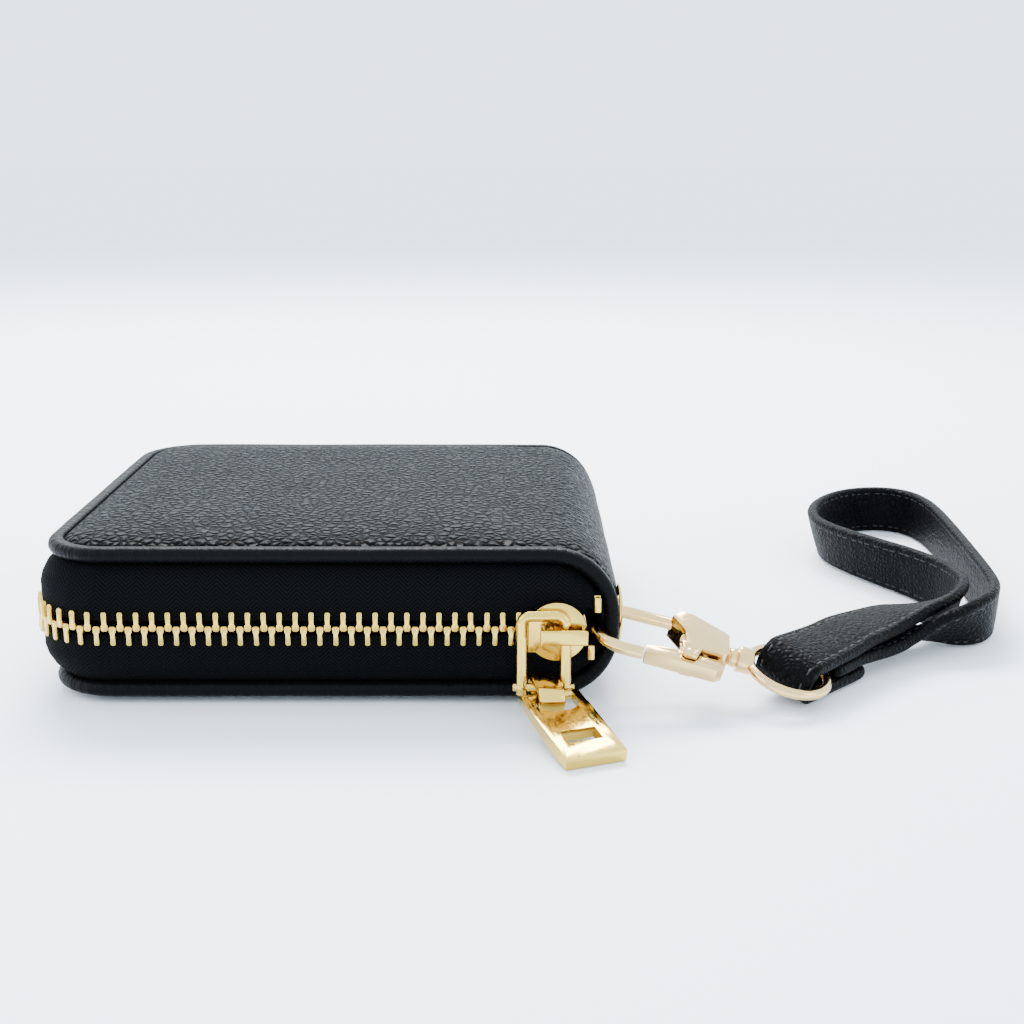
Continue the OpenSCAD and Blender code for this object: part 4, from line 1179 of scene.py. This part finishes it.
def gusset_path():
    """The page's edge as a closed path, with a place every 3 mm or so."""
    m = len(page_edge)
    path = []
    for j in range(m):
        a, b = Vector((*page_edge[j - 1], 0)), Vector((*page_edge[(j + 1) % m], 0))
        t = (b - a).normalized()
        path.append((Vector((*page_edge[j], 0)), Vector((t.y, -t.x, 0)), Vector((0, 0, 1))))
    dense = []
    for j in range(m):
        (p, o, u), (q, r, _) = path[j], path[(j + 1) % m]
        steps = max(1, int((q - p).length / 3))
        dense += [(p.lerp(q, k / steps), o.lerp(r, k / steps).normalized(), u)
                  for k in range(steps)]
    return dense


def across_path(x, half_long, parts=30):
    """A straight path from front to back at the wallet's mid height."""
    return [(Vector((x, -half_long + 2 * half_long * k / parts, Z_MID)), Vector((1, 0, 0)),
             Vector((0, 0, 1))) for k in range(parts + 1)]


GUSSET_SECTION = [(0, 11.6), (-0.25, 12.6), (-0.4, 14.6), (-0.25, 16.6), (0, 17.55),
                  (-0.7, 17.55), (-0.85, 16.6), (-1.0, 14.6), (-0.85, 12.6), (-0.7, 11.6)]
FLAP_SECTION = [(-4.2, -0.9), (0, -0.95), (3.0, -1), (3.6, -0.8), (3.92, -0.4), (4, 0),
                (3.92, 0.4), (3.6, 0.8), (3.0, 1), (0, 0.95), (-4.2, 0.9)]
ANCHOR_SECTION = [(-1.38, 0), (-1.2, -0.5), (-0.8, -0.68), (0.6, -0.7), (1.4, -0.7), (1.4, 0.7),
                  (0.6, 0.7), (-0.8, 0.68), (-1.2, 0.5)]
gusset = sweep("page_gusset.soft", gusset_path(), GUSSET_SECTION, lining_finish, closed=True)
place_piece(gusset, "lining", "page", "page_gusset")
flap = sweep("page_flap.soft", across_path(40, 33), FLAP_SECTION, pocket_finish)
place_piece(flap, "pocket", "page", "page_flap")
anchor = sweep("page_anchor.soft", across_path(45.6, 30), ANCHOR_SECTION, pocket_finish)
place_piece(anchor, "pocket", "base", "page_anchor")
print("coin page panels made")

# %% [markdown]
# ## The coin page's zip
# A small zip closes the slot in the page's front panel. Its tapes are two thin strips beside the
# slot, with a UV map so that the herringbone runs along them. The teeth, slider, pull and stops
# keep the frame's shape, with their edges rounded.

# %% Coin zip
COIN_ZIP_Y, TAPE_GAP, TAPE_HALF = 29, 1.75, 1.25
for label, side in (("near", -1), ("far", 1)):
    y = COIN_ZIP_Y + side * TAPE_GAP
    outline = page_outline(-40, 33, y - TAPE_HALF, y + TAPE_HALF, (0.3,) * 4)
    made = soft_slab(f"coin_tape.{label}", outline, 17.0, 17.55, tape_finish)
    layer = made.data.uv_layers.new(name="run")
    for loop in made.data.loops:
        spot = made.data.vertices[loop.vertex_index].co
        layer.data[loop.index].uv = (spot.x * 100, spot.y * 100)
    place_piece(made, "tape", "page")
lo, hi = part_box("coin_tape")
print("coin tape box", [round(v * 1000, 1) for v in (*lo, *hi)])
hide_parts("coin_tape")
for node_name, body, round_mm in (
        ("coin_slider", "coin_slider", 0.12), ("coin_pull", "coin_pull", 0.12),
        ("coin_stops", "page", 0.1), ("coin_teeth", "page", 0.1)):
    polished(node_name, body, round_mm, gold)
PAGE_TOP = 18.52
page_sides = ((-38, -36.5, 31, -36.5), (34.5, -33, 34.5, 33), (31, 36.5, -38, 36.5),
              (-41.5, 33, -41.5, -33))
for k, ends in enumerate(page_sides):
    stitches_along(f"page_front.stitches_{k + 1}", flat_row(*ends, PAGE_TOP, 1), (0,), (0,),
                   POCKET_PITCH, "page", "pocket", shape=POCKET_STITCH)
print("coin zip made")

# %% [markdown]
# ## Card window
# The lid carries a clear window in a stitched frame. The frame is one more sheet with an opening.

# %% Window frame
frame_outer = page_outline(CARD_X0, CARD_X1, -CARD_EDGE, 9.5, (8, 1, 1, 1))
frame_inner = page_outline(-40, 35.5, -34.5, 3.5, (1.5, 1.5, 1.5, 1.5))
frame_low, frame_high = 2 * Z_MID - 21.6 + 0.02, 2 * Z_MID - 20.9 - 0.02
window_frame = framed_slab("id_frame.soft", frame_outer, frame_inner, frame_low, frame_high,
                           pocket_finish, 0.0)
flip_over(window_frame)
place_piece(window_frame, "pocket", "lid", "id_frame")
print("window frame made")

# %% [markdown]
# ## Stage
# A pale table and a wide soft light from above and behind show a dark, glossy thing best: its
# grain is drawn mostly by the reflections of the light, with painted shade in its creases. A weaker
# light from the left lifts the front.

# %% Stage
bpy.ops.mesh.primitive_plane_add(size=6, location=(0, 1.2, 0))
table = bpy.context.object
table.name = "table"
table_finish = new_finish("table_top", (0.90, 0.95, 1.0), 0.6)[0]
table.data.materials.append(table_finish)
world = bpy.data.worlds.new("studio")
bpy.context.scene.world = world
world.use_nodes = True
world.node_tree.nodes["Background"].inputs["Color"].default_value = (0.79, 0.90, 1.0, 1)
world.node_tree.nodes["Background"].inputs["Strength"].default_value = 3.3


def soft_light(name, place, aim, size, power, colour=(1, 1, 1)):
    """A rectangular lamp turned towards a place."""
    data = bpy.data.lights.new(name, "AREA")
    data.shape = "RECTANGLE"
    data.size, data.size_y = size
    data.energy = power
    data.color = colour
    lamp = bpy.data.objects.new(name, data)
    bpy.context.scene.collection.objects.link(lamp)
    lamp.location = place
    lamp.rotation_euler = (Vector(aim) - Vector(place)).to_track_quat("-Z", "Y").to_euler()
    return lamp


soft_light("overhead", (-0.05, 0.42, 0.55), (0, 0, 0), (0.5, 0.3), 16.0)
soft_light("left_fill", (-0.7, -0.3, 0.45), (0, 0, 0.01), (0.5, 0.5), 2.6, (1, 0.98, 0.95))
soft_light("right_low", (0.7, -0.35, 0.3), (0.05, -0.04, 0.01), (0.35, 0.35), 1.4, (1, 0.95, 0.9))
print("stage and lights set")
